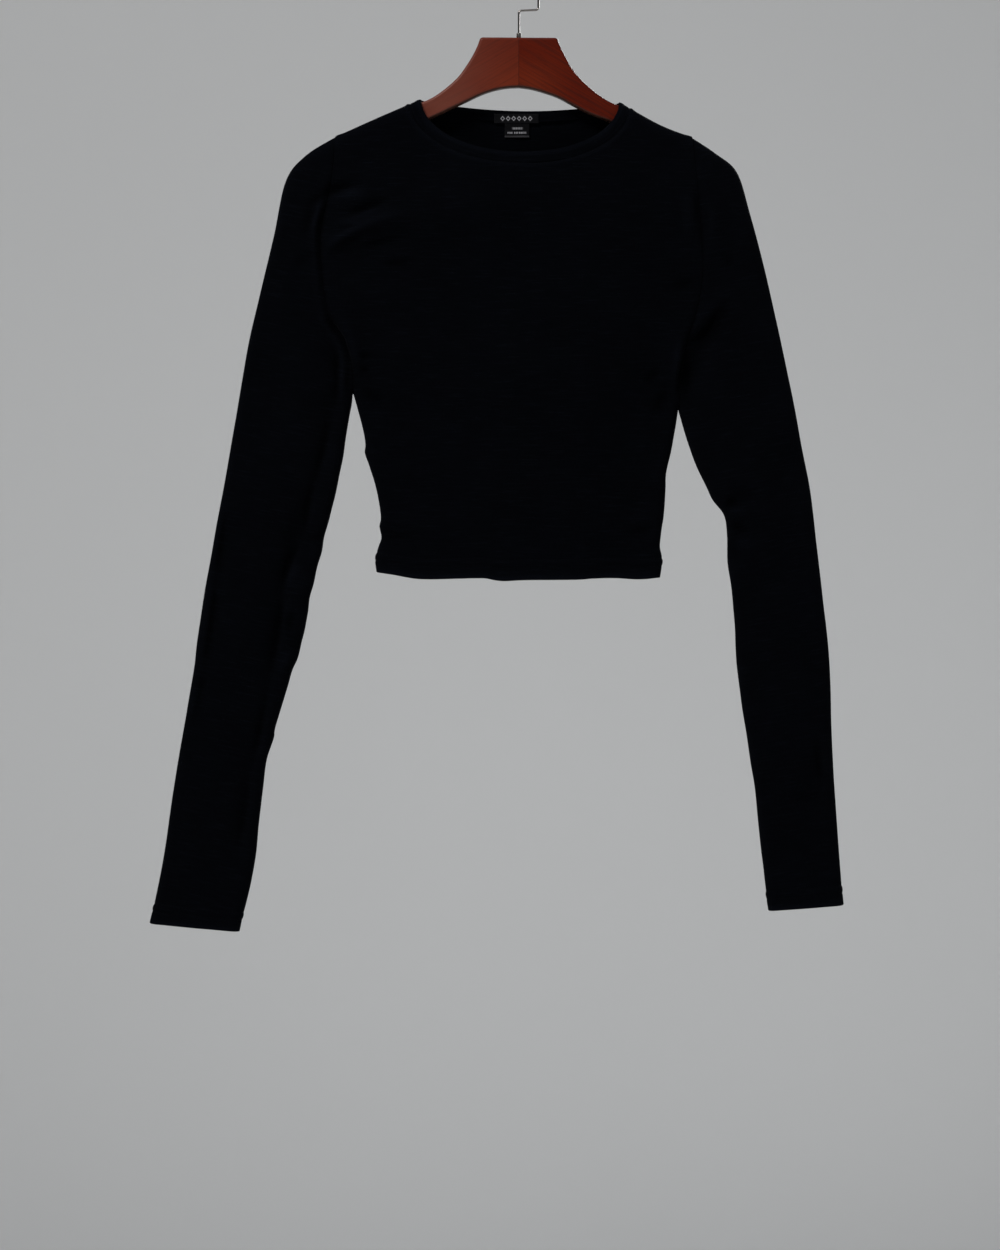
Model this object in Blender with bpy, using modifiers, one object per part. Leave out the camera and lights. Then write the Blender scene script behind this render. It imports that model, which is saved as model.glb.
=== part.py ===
"""A fitted long-sleeved crop top, hanging nearly flat on a wooden hanger.

+Z is up, and -Y is the front of the garment. Left is -X, as seen from the front.
The origin is the inside top of the hook, where a rail would carry it.
Sizes are in millimetres until a mesh is made, and a point (x, z) lies in the plane of the
garment. The cloth is two layers that meet along the folded edges of that plane.
"""

import math

import bmesh
import bpy
import numpy as np

MM = 0.001

# Cloth
WALL = 1.4
SEAM_GAP = 0.3
HEM_WALL = 2.4          # a turned hem is two layers
HEM_HEIGHT = 8.5
CUFF_HEM_HEIGHT = 14.5
HEM_STEP = 1.0          # length over which the wall thins from a hem to one layer
LABEL_WALL = 1.0

# Depth of the hanging garment
SHOULDER_ROUND = 10.0   # radius of the fold over the hanger's arm
EDGE_ROUND = 7.0        # radius of every other folded edge
SHOULDER_ZONE = (-190.0, -260.0)
FULL_REACH = 110.0      # the layers reach their full depth this far in from an edge
EDGE_FADE = 20.0        # folds die away over this distance to an edge
SWING = 10.0            # how far the cuffs hang forward of the shoulders
SWING_TOP = -150.0
SWING_LENGTH = 650.0
FULLNESS = (            # z, fullness of the front, fullness of the back
    (-110.0, 7.0, 6.0),
    (-200.0, 11.0, 8.0),
    (-330.0, 13.0, 9.0),
    (-520.0, 9.0, 7.0),
    (-820.0, 9.0, 9.0),
)

# Neck
NECK_LEFT = (-84.0, -109.5)
NECK_RIGHT = (86.0, -112.0)
BAND_WIDTH = 9.0
FRONT_DROP = 46.0
BACK_DROP = 7.5
FRONT_CURVE = 1.0       # power of the sine that draws the neckline
BACK_CURVE = 2.0
FRONT_NECK_ANGLES = (0, 1.7, 6.2, 12.5, 22, 36, 53, 71, 90, 109, 127, 144, 158, 167.5, 173.8, 178.3,
                     180)
BACK_NECK_ANGLES = (0, 11, 23, 36, 54, 72, 90, 108, 126, 144, 157, 169, 180)

# Shoulder seams, from the neck to the armhole: x, z
SHOULDER_LEFT = (NECK_LEFT, (-120.0, -125.0), (-155.5, -141.0))
SHOULDER_RIGHT = (NECK_RIGHT, (119.0, -130.5), (146.5, -141.5))

# Armhole seams, from the shoulder to the underarm: x, z
ARMHOLE_LEFT = (
    (-155.5, -141.0), (-160.0, -183.0), (-168.5, -223.5), (-167.0, -260.0),
    (-161.5, -294.5), (-149.0, -316.0), (-142.0, -339.0), (-141.0, -358.0),
)
ARMHOLE_RIGHT = (
    (146.5, -141.5), (151.0, -183.0), (155.0, -234.5), (154.5, -265.0),
    (149.0, -294.0), (141.0, -322.0), (136.0, -347.0), (135.5, -371.5),
)

# Sections across each sleeve, from the armhole to the cuff: outer x, outer z, inner x, inner z
SLEEVE_LEFT = (
    (-155.5, -141.0, -141.0, -358.0),
    (-181.0, -157.0, -141.5, -363.0),
    (-198.0, -178.5, -142.0, -369.0),
    (-208.0, -224.5, -144.0, -380.0),
    (-219.0, -271.0, -146.5, -397.0),
    (-230.5, -322.0, -150.0, -418.0),
    (-240.5, -381.5, -156.5, -449.5),
    (-250.0, -437.0, -164.5, -481.0),
    (-261.5, -499.0, -175.5, -526.0),
    (-272.0, -564.5, -185.5, -577.0),
    (-282.0, -630.0, -206.5, -641.0),
    (-292.5, -692.0, -218.0, -703.0),
    (-302.0, -755.5, -225.5, -766.0),
    (-312.0, -807.5, -237.0, -814.5),
)
SLEEVE_RIGHT = (
    (146.5, -141.5, 135.5, -371.5),
    (167.5, -155.5, 136.0, -375.5),
    (185.5, -171.5, 137.5, -381.0),
    (196.5, -206.5, 140.5, -392.0),
    (208.0, -250.0, 144.5, -404.5),
    (218.5, -296.5, 150.5, -421.0),
    (229.0, -346.0, 161.0, -441.0),
    (237.5, -390.0, 174.5, -463.0),
    (246.0, -434.5, 176.5, -479.5),
    (252.5, -488.0, 178.5, -517.5),
    (258.0, -536.5, 182.5, -551.5),
    (263.0, -582.0, 184.5, -589.0),
    (265.0, -641.0, 191.0, -638.5),
    (267.0, -687.5, 198.5, -687.0),
    (270.5, -740.5, 204.5, -741.0),
    (274.5, -793.0, 211.0, -795.0),
)

# Side seams, from the hem to the underarm: left x, left z, right x, right z
SIDE_SEAMS = (
    (-120.5, -510.5, 119.5, -515.0),
    (-121.5, -500.5, 121.5, -500.5),
    (-119.0, -486.0, 120.0, -487.0),
    (-117.5, -464.0, 122.5, -465.0),
    (-121.0, -441.0, 124.5, -439.5),
    (-127.0, -418.0, 128.0, -414.0),
    (-132.0, -392.0, 133.0, -388.5),
    (-141.0, -358.0, 135.5, -371.5),
)

# Hem: x, z
HEM = (
    (-120.5, -510.5), (-107.0, -512.5), (-87.0, -516.0), (-53.0, -515.7),
    (-12.5, -517.8), (35.0, -517.2), (68.5, -516.0), (102.5, -516.4), (119.5, -515.0),
)

# Main folds: layer, start x z, middle x z, end x z, half width, height (a trough is negative)
FOLDS = (
    ("front", -168.0, -195.0, -151.0, -186.0, -136.0, -181.0, 6.0, -1.6),
    ("front", -160.0, -215.0, -136.0, -206.5, -110.5, -198.0, 6.0, -2.2),
    ("front", -160.0, -218.5, -145.0, -212.5, -117.5, -215.0, 5.0, 1.6),
    ("front", -164.0, -240.0, -143.0, -227.0, -82.0, -208.0, 9.0, 3.6),
    ("front", -133.0, -235.0, -107.0, -230.0, -79.0, -229.0, 9.0, -2.4),
    ("front", -160.0, -237.0, -16.0, -186.0, 35.0, -169.0, 26.0, 3.0),
    ("front", -168.0, -288.0, -154.0, -322.0, -146.0, -354.0, 7.0, -4.2),
    ("front", -156.0, -288.0, -142.0, -318.0, -136.0, -352.0, 8.0, 3.0),
    ("front", -153.0, -318.0, -157.0, -382.0, -175.0, -476.0, 7.0, -2.8),
    ("front", -171.0, -433.0, -196.0, -515.0, -216.0, -647.0, 8.0, -3.4),
    ("front", -216.0, -647.0, -228.0, -690.0, -239.0, -766.0, 7.0, -2.4),
    ("front", -249.0, -459.0, -258.0, -543.0, -272.0, -636.0, 7.0, -2.8),
    ("front", 140.0, -320.0, 158.0, -305.0, 173.0, -281.0, 6.0, -2.4),
    ("front", 145.0, -366.0, 153.0, -332.0, 172.0, -298.0, 11.0, -4.6),
    ("front", 133.0, -300.0, 130.0, -335.0, 128.0, -370.0, 9.0, 2.4),
    ("front", 178.0, -455.0, 190.0, -450.0, 210.0, -446.0, 7.0, -2.8),
    ("front", 188.0, -468.0, 200.0, -464.0, 216.0, -466.0, 8.0, 2.2),
    ("back", -165.0, -226.0, -120.0, -208.0, -78.0, -202.0, 9.0, 3.0),
    ("back", 158.0, -232.0, 120.0, -214.0, 84.0, -206.0, 9.0, 2.6),
    ("back", -62.0, -230.0, -52.0, -330.0, -58.0, -450.0, 24.0, 2.4),
    ("back", 66.0, -250.0, 58.0, -350.0, 66.0, -470.0, 22.0, 2.2),
    ("back", -160.0, -330.0, -176.0, -420.0, -200.0, -520.0, 8.0, -3.0),
    ("back", -236.0, -420.0, -252.0, -540.0, -270.0, -700.0, 8.0, -3.0),
    ("back", 160.0, -330.0, 172.0, -400.0, 204.0, -460.0, 9.0, -3.0),
    ("back", 206.0, -500.0, 222.0, -590.0, 232.0, -700.0, 8.0, -3.0),
)
FOLD_TAPER = 0.35       # share of a fold's length over which each end dies away

# How finely each piece is divided
ARC_STEPS = 3
FRONT_MIDDLE = (0.08, 0.16, 0.21, 0.25, 0.29, 0.33, 0.37, 0.42, 0.50, 0.61, 0.74, 0.88)
BACK_MIDDLE = (0.12, 0.26, 0.42, 0.58, 0.74, 0.88)
SIDE_STEPS = 9
SHOULDER_STEPS = 2
SLEEVE_STEPS = {"left": 20, "right": 22}
CURVE_POINTS = 160      # points in each long outline curve
SHOULDER_POINTS = 12    # and in each shoulder seam

# Labels inside the back neck: middle x, top z, width, height
BRAND_LABEL = (-2.0, -119.2, 38.0, 8.0)
CARE_LABEL = (-1.5, -127.6, 21.0, 12.3)

# Hanger
HANGER_THICKNESS = 10.0
HANGER_ROUND = 2.5
ARM_CLEARANCE = 1.3
ARM_DEPTH = 17.5
ARM_OVERHANG = 16.0     # how far an arm reaches past the shoulder seam, to where its tip rounds
ARM_STATIONS = 6
ARM_TIP_ROUND = 7.9
NECK_TOP = -57.0
FLANK_LEFT = (          # top edge of the wood from its neck to the garment: x, z
    (-32.3, -57.0), (-34.8, -64.5), (-38.7, -72.8), (-44.6, -81.6), (-53.0, -91.0),
    (-64.0, -99.8), (-75.0, -107.0),
)
FLANK_RIGHT = (
    (31.8, -57.4), (34.6, -64.5), (38.6, -73.6), (44.4, -83.0), (52.8, -93.2), (64.0, -102.6),
    (76.0, -109.8),
)
ARCH = (                # lower edge of the wood: distance from the middle, z
    (0.0, -97.3), (11.0, -98.2), (22.0, -101.0), (33.0, -106.2), (45.0, -113.4),
    (60.0, -120.3), (78.0, -128.0),
)

# Hook
WIRE_RADIUS = 0.9
HOOK_RADIUS = 16.6      # from the hook's middle to the wire's middle
JOG_Z = -34.0
JOG_RISE = 1.7
BEND_RADIUS = 3.0
HOOK_END_ANGLE = 205.0
COLLAR_RADIUS = 2.0
COLLAR_HEIGHT = 3.7
COLLAR_CHAMFER = 0.4
SEAT_GAP = 0.3
COLLAR_STEPS = 24
MERGE = 0.00001         # metres

MATERIALS = {           # base colour, roughness, metallic
    "jersey": ((0.006, 0.006, 0.008), 0.9, 0.0),
    "label": ((0.015, 0.015, 0.017), 0.6, 0.0),
    "wood": ((0.16, 0.035, 0.015), 0.3, 0.0),
    "chrome": ((0.75, 0.75, 0.76), 0.15, 1.0),
}


# ---------------------------------------------------------------- curves in the garment's plane

def smooth(t):
    """Ease from 0 to 1 with flat ends."""
    t = np.clip(t, 0.0, 1.0)
    return t * t * (3.0 - 2.0 * t)


def spline(rows, steps):
    """Catmull-Rom curve through the rows, every column of them, at even steps of the row number."""
    rows = np.asarray(rows, float)
    before, after = 2 * rows[0] - rows[1], 2 * rows[-1] - rows[-2]
    knots = np.vstack([before, rows, after])
    place = np.linspace(0.0, len(rows) - 1.0, steps)
    first = np.minimum(place.astype(int), len(rows) - 2)
    t = (place - first)[:, None]
    a, b, c, d = (knots[first + k] for k in range(4))
    return 0.5 * (2 * b + (c - a) * t + (2 * a - 5 * b + 4 * c - d) * t**2
                  + (3 * b - a - 3 * c + d) * t**3)


def length_along(path):
    """Distance from the start of a path to each of its points."""
    steps = np.linalg.norm(np.diff(path, axis=0), axis=1)
    return np.concatenate([[0.0], np.cumsum(steps)])


def at_lengths(path, lengths):
    """Points of a path at the given distances along it."""
    along = length_along(path)
    return np.stack([np.interp(lengths, along, path[:, k]) for k in range(2)], axis=1)


def across(path, lengths, shift, toward):
    """Points of a path, moved square to it by shift, to the side where x has the sign toward."""
    reach = 0.5
    ahead = at_lengths(path, np.asarray(lengths) + reach)
    behind = at_lengths(path, np.asarray(lengths) - reach)
    tangent = ahead - behind
    square = np.stack([-tangent[:, 1], tangent[:, 0]], axis=1)
    square /= np.linalg.norm(square, axis=1, keepdims=True)
    square *= np.sign(square[:, :1]) * toward
    return at_lengths(path, lengths) + shift * square


def stations(length, start_round, end_round, middle):
    """Distances along a line: close together round its folded ends, by fractions between them."""
    turn = np.linspace(0.0, math.pi / 2, ARC_STEPS + 1)
    start = start_round * (1.0 - np.cos(turn))
    end = length - end_round * (1.0 - np.cos(turn[::-1]))
    between = start_round + (length - start_round - end_round) * np.asarray(middle)
    return np.concatenate([start, between, end])


def neck_curve(left, right, drop, power, angles):
    """Neckline from one neck point to the other: the drop follows a power of the sine."""
    turn = np.radians(angles)
    t = 0.5 - 0.5 * np.cos(turn)
    left, right = np.asarray(left), np.asarray(right)
    line = left + t[:, None] * (right - left)
    line[:, 1] -= drop * np.sin(turn) ** power
    return line


def coons(left, right, bottom, top, u, v):
    """Patch between four edges: both ruled surfaces added, less the bilinear one."""
    u, v = u[None, :, None], v[:, None, None]
    ruled_across = (1 - u) * left[:, None] + u * right[:, None]
    ruled_up = (1 - v) * bottom[None] + v * top[None]
    corners = (1 - v) * ((1 - u) * bottom[0] + u * bottom[-1]) + v * ((1 - u) * top[0] + u * top[-1])
    return ruled_across + ruled_up - corners


# ---------------------------------------------------------------- the outline of the garment

def extended(path, reach):
    """A path with a straight stretch added past its last point."""
    last = path[-1] + (path[-1] - path[-2]) / np.linalg.norm(path[-1] - path[-2]) * reach
    return np.vstack([path, last])


def meeting_point(a, b, c, d):
    """Where the line through a and b crosses the line through c and d."""
    matrix = np.array([b - a, c - d]).T
    t = np.linalg.solve(matrix, c - a)
    return a + t[0] * (b - a)


def make_outline():
    """The folded edges of the garment, as four paths, and the polygon that they enclose.

    The shoulder lines run on over the neck until they meet, and the cuffs and the hem are
    passed by a straight stretch, so that only a folded edge closes the cloth.
    """
    past_end = 80.0
    left = spline(SLEEVE_LEFT, CURVE_POINTS)
    right = spline(SLEEVE_RIGHT, CURVE_POINTS)
    sides = spline(SIDE_SEAMS, CURVE_POINTS // 2)
    shoulder_left = spline(SHOULDER_LEFT, SHOULDER_POINTS)
    shoulder_right = spline(SHOULDER_RIGHT, SHOULDER_POINTS)
    apex = meeting_point(shoulder_left[1], shoulder_left[0], shoulder_right[1], shoulder_right[0])
    outer_left = extended(np.vstack([apex, shoulder_left, left[1:, :2]]), past_end)
    outer_right = extended(np.vstack([apex, shoulder_right, right[1:, :2]]), past_end)
    inner_left = np.vstack([extended(left[:, 2:], past_end)[::-1],
                            extended(sides[::-1, :2], past_end)[1:]])
    inner_right = np.vstack([extended(right[:, 2:], past_end)[::-1],
                             extended(sides[::-1, 2:], past_end)[1:]])
    ring = np.vstack([outer_left, inner_left, inner_right[::-1], outer_right[::-1]])
    return (outer_left, inner_left, inner_right, outer_right), ring


OUTLINE, OUTLINE_RING = make_outline()


def nearest_on(path, points):
    """Distance from each point to a path, and how far along it the nearest place is, 0 to 1."""
    a, step = path[:-1], np.diff(path, axis=0)
    reach = np.maximum((step**2).sum(1), 1e-9)
    t = np.clip(((points[:, None] - a) * step).sum(2) / reach, 0.0, 1.0)
    distance = np.linalg.norm(points[:, None] - a - t[..., None] * step, axis=2)
    nearest = distance.argmin(1)
    row = np.arange(len(points))
    return distance[row, nearest], (nearest + t[row, nearest]) / len(step)


def inside(ring, points):
    """Which points lie inside a closed ring, by counting the edges crossed to their right."""
    a, b = ring, np.roll(ring, -1, axis=0)
    x, z = points[:, :1], points[:, 1:]
    spans = (a[:, 1] > z) != (b[:, 1] > z)
    rise = np.where(a[:, 1] == b[:, 1], 1e-9, b[:, 1] - a[:, 1])
    crossing = a[:, 0] + (z - a[:, 1]) * (b[:, 0] - a[:, 0]) / rise
    return (spans & (x < crossing)).sum(1) % 2 == 1


# ---------------------------------------------------------------- depth of the two layers

def fold_relief(points, layer):
    """Height that the folds add: a bell across each path, tapered to its ends."""
    relief = np.zeros(len(points))
    for row in FOLDS:
        if row[0] != layer:
            continue
        start, middle, end = (np.array(row[k:k + 2]) for k in (1, 3, 5))
        width, height = row[7], row[8]
        t = np.linspace(0.0, 1.0, 13)[:, None]
        bow = 2 * middle - 0.5 * (start + end)
        path = (1 - t) ** 2 * start + 2 * t * (1 - t) * bow + t**2 * end
        distance, place = nearest_on(path, points)
        taper = smooth(place / FOLD_TAPER) * smooth((1.0 - place) / FOLD_TAPER)
        relief += height * taper * np.exp(-(distance / width) ** 2)
    return relief


def middle_y(z):
    """Y of the plane where the two layers meet: the lower garment swings forward."""
    return -SWING * smooth((SWING_TOP - z) / SWING_LENGTH)


def depth_squared(points, layer):
    """Square of a layer's distance from the middle plane; below 0 past a folded edge.

    Round the folded edge it is a quarter circle, and further in the fullness and the folds
    are added to it.
    """
    edges = np.stack([nearest_on(path, points)[0] for path in OUTLINE])
    sign = np.where(inside(OUTLINE_RING, points), 1.0, -1.0)
    near = sign * edges.min(0)
    soft = np.maximum((np.maximum(edges, 0.01) ** -4.0).sum(0) ** -0.25, 0.0)
    z = points[:, 1]
    top, low = SHOULDER_ZONE
    edge_round = EDGE_ROUND + (SHOULDER_ROUND - EDGE_ROUND) * smooth((z - low) / (top - low))
    t = np.minimum(near / edge_round, 1.0)
    rounding = edge_round**2 * (2 * t - t * t)
    table = np.array(FULLNESS)[::-1]
    column = {"front": 1, "back": 2}[layer]
    extra = np.interp(z, table[:, 0], table[:, column]) * smooth(soft / FULL_REACH)
    extra += fold_relief(points, layer) * smooth(near / EDGE_FADE)
    extra *= sign > 0
    return rounding + 2 * np.sqrt(np.maximum(rounding, 0.0)) * extra + extra**2


def cloth(points, layer):
    """Outer surface of a layer over (x, z) points: positions and outward normals."""
    shape = points.shape[:-1]
    points = points.reshape(-1, 2)
    side = {"front": -1.0, "back": 1.0}[layer]
    depth = np.sqrt(np.maximum(depth_squared(points, layer), 0.0))
    middle = middle_y(points[:, 1])
    eps = 0.3
    east = depth_squared(points + (eps, 0), layer) - depth_squared(points - (eps, 0), layer)
    rise = depth_squared(points + (0, eps), layer) - depth_squared(points - (0, eps), layer)
    lean = (middle_y(points[:, 1] + eps) - middle_y(points[:, 1] - eps)) / (2 * eps)
    offset = side * depth
    normal = np.stack([-east / (2 * eps), 2 * offset, -rise / (2 * eps) - 2 * offset * lean], axis=1)
    normal /= np.linalg.norm(normal, axis=1, keepdims=True)
    place = np.stack([points[:, 0], middle + offset, points[:, 1]], axis=1)
    return place.reshape(*shape, 3), normal.reshape(*shape, 3)


def closed_along(place, normal, rows, columns, layer, gap):
    """Puts a folded edge on the middle plane, half a seam gap short of it, its wall square to it."""
    side = {"front": -1.0, "back": 1.0}[layer]
    place[rows, columns, 1] = middle_y(place[rows, columns, 2]) + side * gap / 2
    normal[rows, columns, 1] = 0.0
    normal[rows, columns] /= np.linalg.norm(normal[rows, columns], axis=-1, keepdims=True)


# ---------------------------------------------------------------- meshes

def add_object(name, mesh, material):
    """An object with its own copy of a material, in the part's collection."""
    colour, roughness, metallic = MATERIALS[material]
    own = bpy.data.materials.new(name + "_" + material)
    own.use_nodes = True
    shader = own.node_tree.nodes["Principled BSDF"]
    shader.inputs["Base Color"].default_value = (*colour, 1.0)
    shader.inputs["Roughness"].default_value = roughness
    shader.inputs["Metallic"].default_value = metallic
    own.diffuse_color = (*colour, 1.0)
    piece = bpy.data.objects.new(name, mesh)
    piece.data.materials.append(own)
    bpy.data.collections["crop_top"].objects.link(piece)
    return piece


def wall(name, place, normal, thickness, material, ring=False):
    """Closed wall of cloth: a grid of outer points, the same grid moved in, and its rims.

    A ring is a grid whose last column is followed by its first.
    """
    rows, columns = place.shape[:2]
    inner = place - np.broadcast_to(thickness, (rows, columns))[..., None] * normal
    points = np.concatenate([place.reshape(-1, 3), inner.reshape(-1, 3)]) * MM
    number = np.arange(rows * columns).reshape(rows, columns)
    if ring:
        number = np.hstack([number, number[:, :1]])
    under = number + rows * columns
    quads = [
        np.stack([number[:-1, :-1], number[:-1, 1:], number[1:, 1:], number[1:, :-1]], axis=2),
        np.stack([under[:-1, :-1], under[1:, :-1], under[1:, 1:], under[:-1, 1:]], axis=2),
    ]
    rims = [(number[0], under[0]), (under[-1], number[-1])]
    if not ring:
        rims += [(under[:, 0], number[:, 0]), (number[:, -1], under[:, -1])]
    faces = [tuple(face) for block in quads for face in block.reshape(-1, 4).tolist()]
    for a, b in rims:
        faces += np.stack([a[1:], a[:-1], b[:-1], b[1:]], axis=1).tolist()
    mesh = bpy.data.meshes.new(name)
    mesh.from_pydata(points.tolist(), [], faces)
    shape = bmesh.new()
    shape.from_mesh(mesh)
    bmesh.ops.recalc_face_normals(shape, faces=shape.faces)
    shape.to_mesh(mesh)
    shape.free()
    mesh.shade_smooth()
    mesh.set_sharp_from_angle(angle=math.radians(50))
    return add_object(name, mesh, material)


# ---------------------------------------------------------------- the pieces of the garment

def armhole_lengths(path, layer):
    """Where the rows of a layer meet the armhole seam, from the shoulder to the underarm."""
    middle = FRONT_MIDDLE if layer == "front" else BACK_MIDDLE
    return stations(length_along(path)[-1], SHOULDER_ROUND, EDGE_ROUND, middle)


def band_points(layer, angles):
    """Neck edge, the seam under the band at the same angles, and the way out square to the seam.

    At both ends the way out runs down the shoulder, lengthened to leave the same gap.
    """
    drop, power = (FRONT_DROP, FRONT_CURVE) if layer == "front" else (BACK_DROP, BACK_CURVE)
    edge = neck_curve(NECK_LEFT, NECK_RIGHT, drop, power, angles)
    left = at_lengths(spline(SHOULDER_LEFT, SHOULDER_POINTS), [BAND_WIDTH])[0]
    right = at_lengths(spline(SHOULDER_RIGHT, SHOULDER_POINTS), [BAND_WIDTH])[0]
    lowest = (NECK_LEFT[1] + NECK_RIGHT[1]) / 2 - drop - BAND_WIDTH
    seam = neck_curve(left, right, (left[1] + right[1]) / 2 - lowest, power, angles)
    tangent = np.gradient(seam, axis=0)
    out = np.stack([tangent[:, 1], -tangent[:, 0]], axis=1)
    out /= np.linalg.norm(out, axis=1, keepdims=True)
    for end in (0, -1):
        down = (seam[end] - edge[end]) / BAND_WIDTH
        out[end] = down / (down @ out[end])
    return edge, seam, out


def shoulder_columns(rows):
    """Points of a shoulder seam from the armhole to the band, close together at its outer end."""
    path = spline(rows, SHOULDER_POINTS)[::-1]
    length = length_along(path)[-1] - BAND_WIDTH
    start = stations(2 * EDGE_ROUND, EDGE_ROUND, EDGE_ROUND, ())[:ARC_STEPS + 1]
    rest = np.linspace(EDGE_ROUND, length, SHOULDER_STEPS + 2)[1:-1]
    return at_lengths(path, np.concatenate([start, rest]))


def make_panel(layer):
    """Front or back: rows from the hem up the side seams and then up the armholes."""
    angles = FRONT_NECK_ANGLES if layer == "front" else BACK_NECK_ANGLES
    sides = spline(SIDE_SEAMS, CURVE_POINTS // 2)
    edges = []
    for columns, armhole, toward in ((slice(0, 2), ARMHOLE_LEFT, 1), (slice(2, 4), ARMHOLE_RIGHT, -1)):
        side = sides[:, columns]
        total = length_along(side)[-1]
        lengths = np.concatenate([[0.0], np.linspace(HEM_HEIGHT, total, SIDE_STEPS)])
        lengths = np.insert(lengths, 2, HEM_HEIGHT + HEM_STEP)[:-1]
        seam = spline(armhole, CURVE_POINTS)
        upper = across(seam, armhole_lengths(seam, layer), SEAM_GAP / 2, toward)[::-1]
        edges.append(np.vstack([at_lengths(side, lengths), upper]))
    left, right = edges
    seam, out = band_points(layer, angles)[1:]
    top = np.vstack([shoulder_columns(SHOULDER_LEFT), seam + out * SEAM_GAP / 2,
                     shoulder_columns(SHOULDER_RIGHT)[::-1]])
    top[0], top[-1] = left[-1], right[-1]
    u = (top[:, 0] - top[0, 0]) / (top[-1, 0] - top[0, 0])
    v = (left[:, 1] - left[0, 1]) / (left[-1, 1] - left[0, 1])
    hem = spline(HEM, CURVE_POINTS)
    x = left[0, 0] + u * (right[0, 0] - left[0, 0])
    bottom = np.stack([x, np.interp(x, hem[:, 0], hem[:, 1])], axis=1)
    bottom[0], bottom[-1] = left[0], right[0]
    place, normal = cloth(coons(left, right, bottom, top, u, v), layer)
    side_rows = len(left) - len(armhole_lengths(spline(ARMHOLE_LEFT, CURVE_POINTS), layer)) + 1
    seam_columns = ARC_STEPS + SHOULDER_STEPS + 1
    for column in (0, -1):
        closed_along(place, normal, slice(0, side_rows), column, layer, SEAM_GAP)
    for columns in (slice(0, seam_columns + 1), slice(-seam_columns - 1, None)):
        closed_along(place, normal, -1, columns, layer, SEAM_GAP)
    thickness = np.full((len(v), 1), WALL)
    thickness[:2] = HEM_WALL
    return wall(layer, place, normal, thickness, "jersey")


def sleeve_half(sections, armhole, layer, steps, toward):
    """One layer of a sleeve: rows across it, from the armhole seam to the cuff.

    Each row is the straight line between the sleeve's edges, bowed as the armhole seam is at
    the top and less and less below it.
    """
    rows = spline(sections, steps + 1)
    cuff_length = np.linalg.norm(rows[-1] - rows[-2]) / math.sqrt(2)
    share = np.arange(steps + 1.0)
    share = np.append(share[:-1], [steps - 1 + (cuff_length - CUFF_HEM_HEIGHT) / cuff_length,
                                   steps])
    share = np.insert(share, -2, share[-2] - HEM_STEP / cuff_length)
    fine = spline(sections, steps * 20 + 1)
    grid_rows = np.stack([np.interp(share * 20, np.arange(len(fine)), fine[:, k])
                          for k in range(4)], axis=1)
    outer, inner = grid_rows[:, :2], grid_rows[:, 2:]
    seam = spline(armhole, CURVE_POINTS)
    seam_lengths = armhole_lengths(seam, layer)
    seam_points = across(seam, seam_lengths, SEAM_GAP / 2, toward)
    seam_share = seam_lengths / seam_lengths[-1]
    bow = seam_points - (outer[0] + seam_share[:, None] * (inner[0] - outer[0]))
    middle = np.asarray(FRONT_MIDDLE if layer == "front" else BACK_MIDDLE)
    even = (np.arange(len(middle)) + 1.0) / (len(middle) + 1.0)
    grid = []
    for k, place in enumerate(share / steps):
        width = np.linalg.norm(inner[k] - outer[k])
        fade = (1.0 - place) ** 4
        spread = fade * middle + (1.0 - fade) * even
        cut = seam_share if k == 0 else stations(width, EDGE_ROUND, EDGE_ROUND, spread) / width
        line = outer[k] + cut[:, None] * (inner[k] - outer[k])
        grid.append(line + fade * bow)
    grid = np.array(grid)
    grid[1:, 0], grid[1:, -1] = outer[1:], inner[1:]
    return grid


def make_sleeve(name, sections, armhole, toward):
    """Sleeve: both layers joined along their folded edges into one tube of rings."""
    steps = SLEEVE_STEPS[name]
    places, normals = [], []
    for layer in ("front", "back"):
        place, normal = cloth(sleeve_half(sections, armhole, layer, steps, toward), layer)
        for column in (0, -1):
            closed_along(place, normal, slice(None), column, layer, 0.0)
        if layer == "back":
            place, normal = place[:, -2:0:-1], normal[:, -2:0:-1]
        places.append(place)
        normals.append(normal)
    place, normal = np.concatenate(places, axis=1), np.concatenate(normals, axis=1)
    thickness = np.full((len(place), 1), WALL)
    thickness[-2:] = HEM_WALL
    return wall("sleeve_" + name, place, normal, thickness, "jersey", ring=True)


def make_neckband():
    """Binding round the neck: a ring of strips from the neck edge out to the seam."""
    places, normals = [], []
    for layer, angles in (("front", FRONT_NECK_ANGLES), ("back", BACK_NECK_ANGLES)):
        edge, seam, out = band_points(layer, angles)
        seam = seam - out * SEAM_GAP / 2
        strip = np.stack([edge, (edge + seam) / 2, seam])
        place, normal = cloth(strip, layer)
        for column in (0, -1):
            closed_along(place, normal, slice(None), column, layer, 0.0)
        if layer == "back":
            place, normal = place[:, -2:0:-1], normal[:, -2:0:-1]
        places.append(place)
        normals.append(normal)
    return wall("neckband", np.concatenate(places, axis=1), np.concatenate(normals, axis=1),
                WALL, "jersey", ring=True)


def make_label(name, row):
    """Label on the inside of the back, made from the back's own points, moved in."""
    middle, top, width, height = row
    x = middle + np.linspace(-0.5, 0.5, 7) * width
    z = top - np.linspace(0.0, 1.0, 4) * height
    grid = np.stack(np.meshgrid(x, z), axis=2)
    place, normal = cloth(grid, "back")
    return wall(name, place - (WALL + SEAM_GAP) * normal, normal, LABEL_WALL, "label")


# ---------------------------------------------------------------- the hanger

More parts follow.
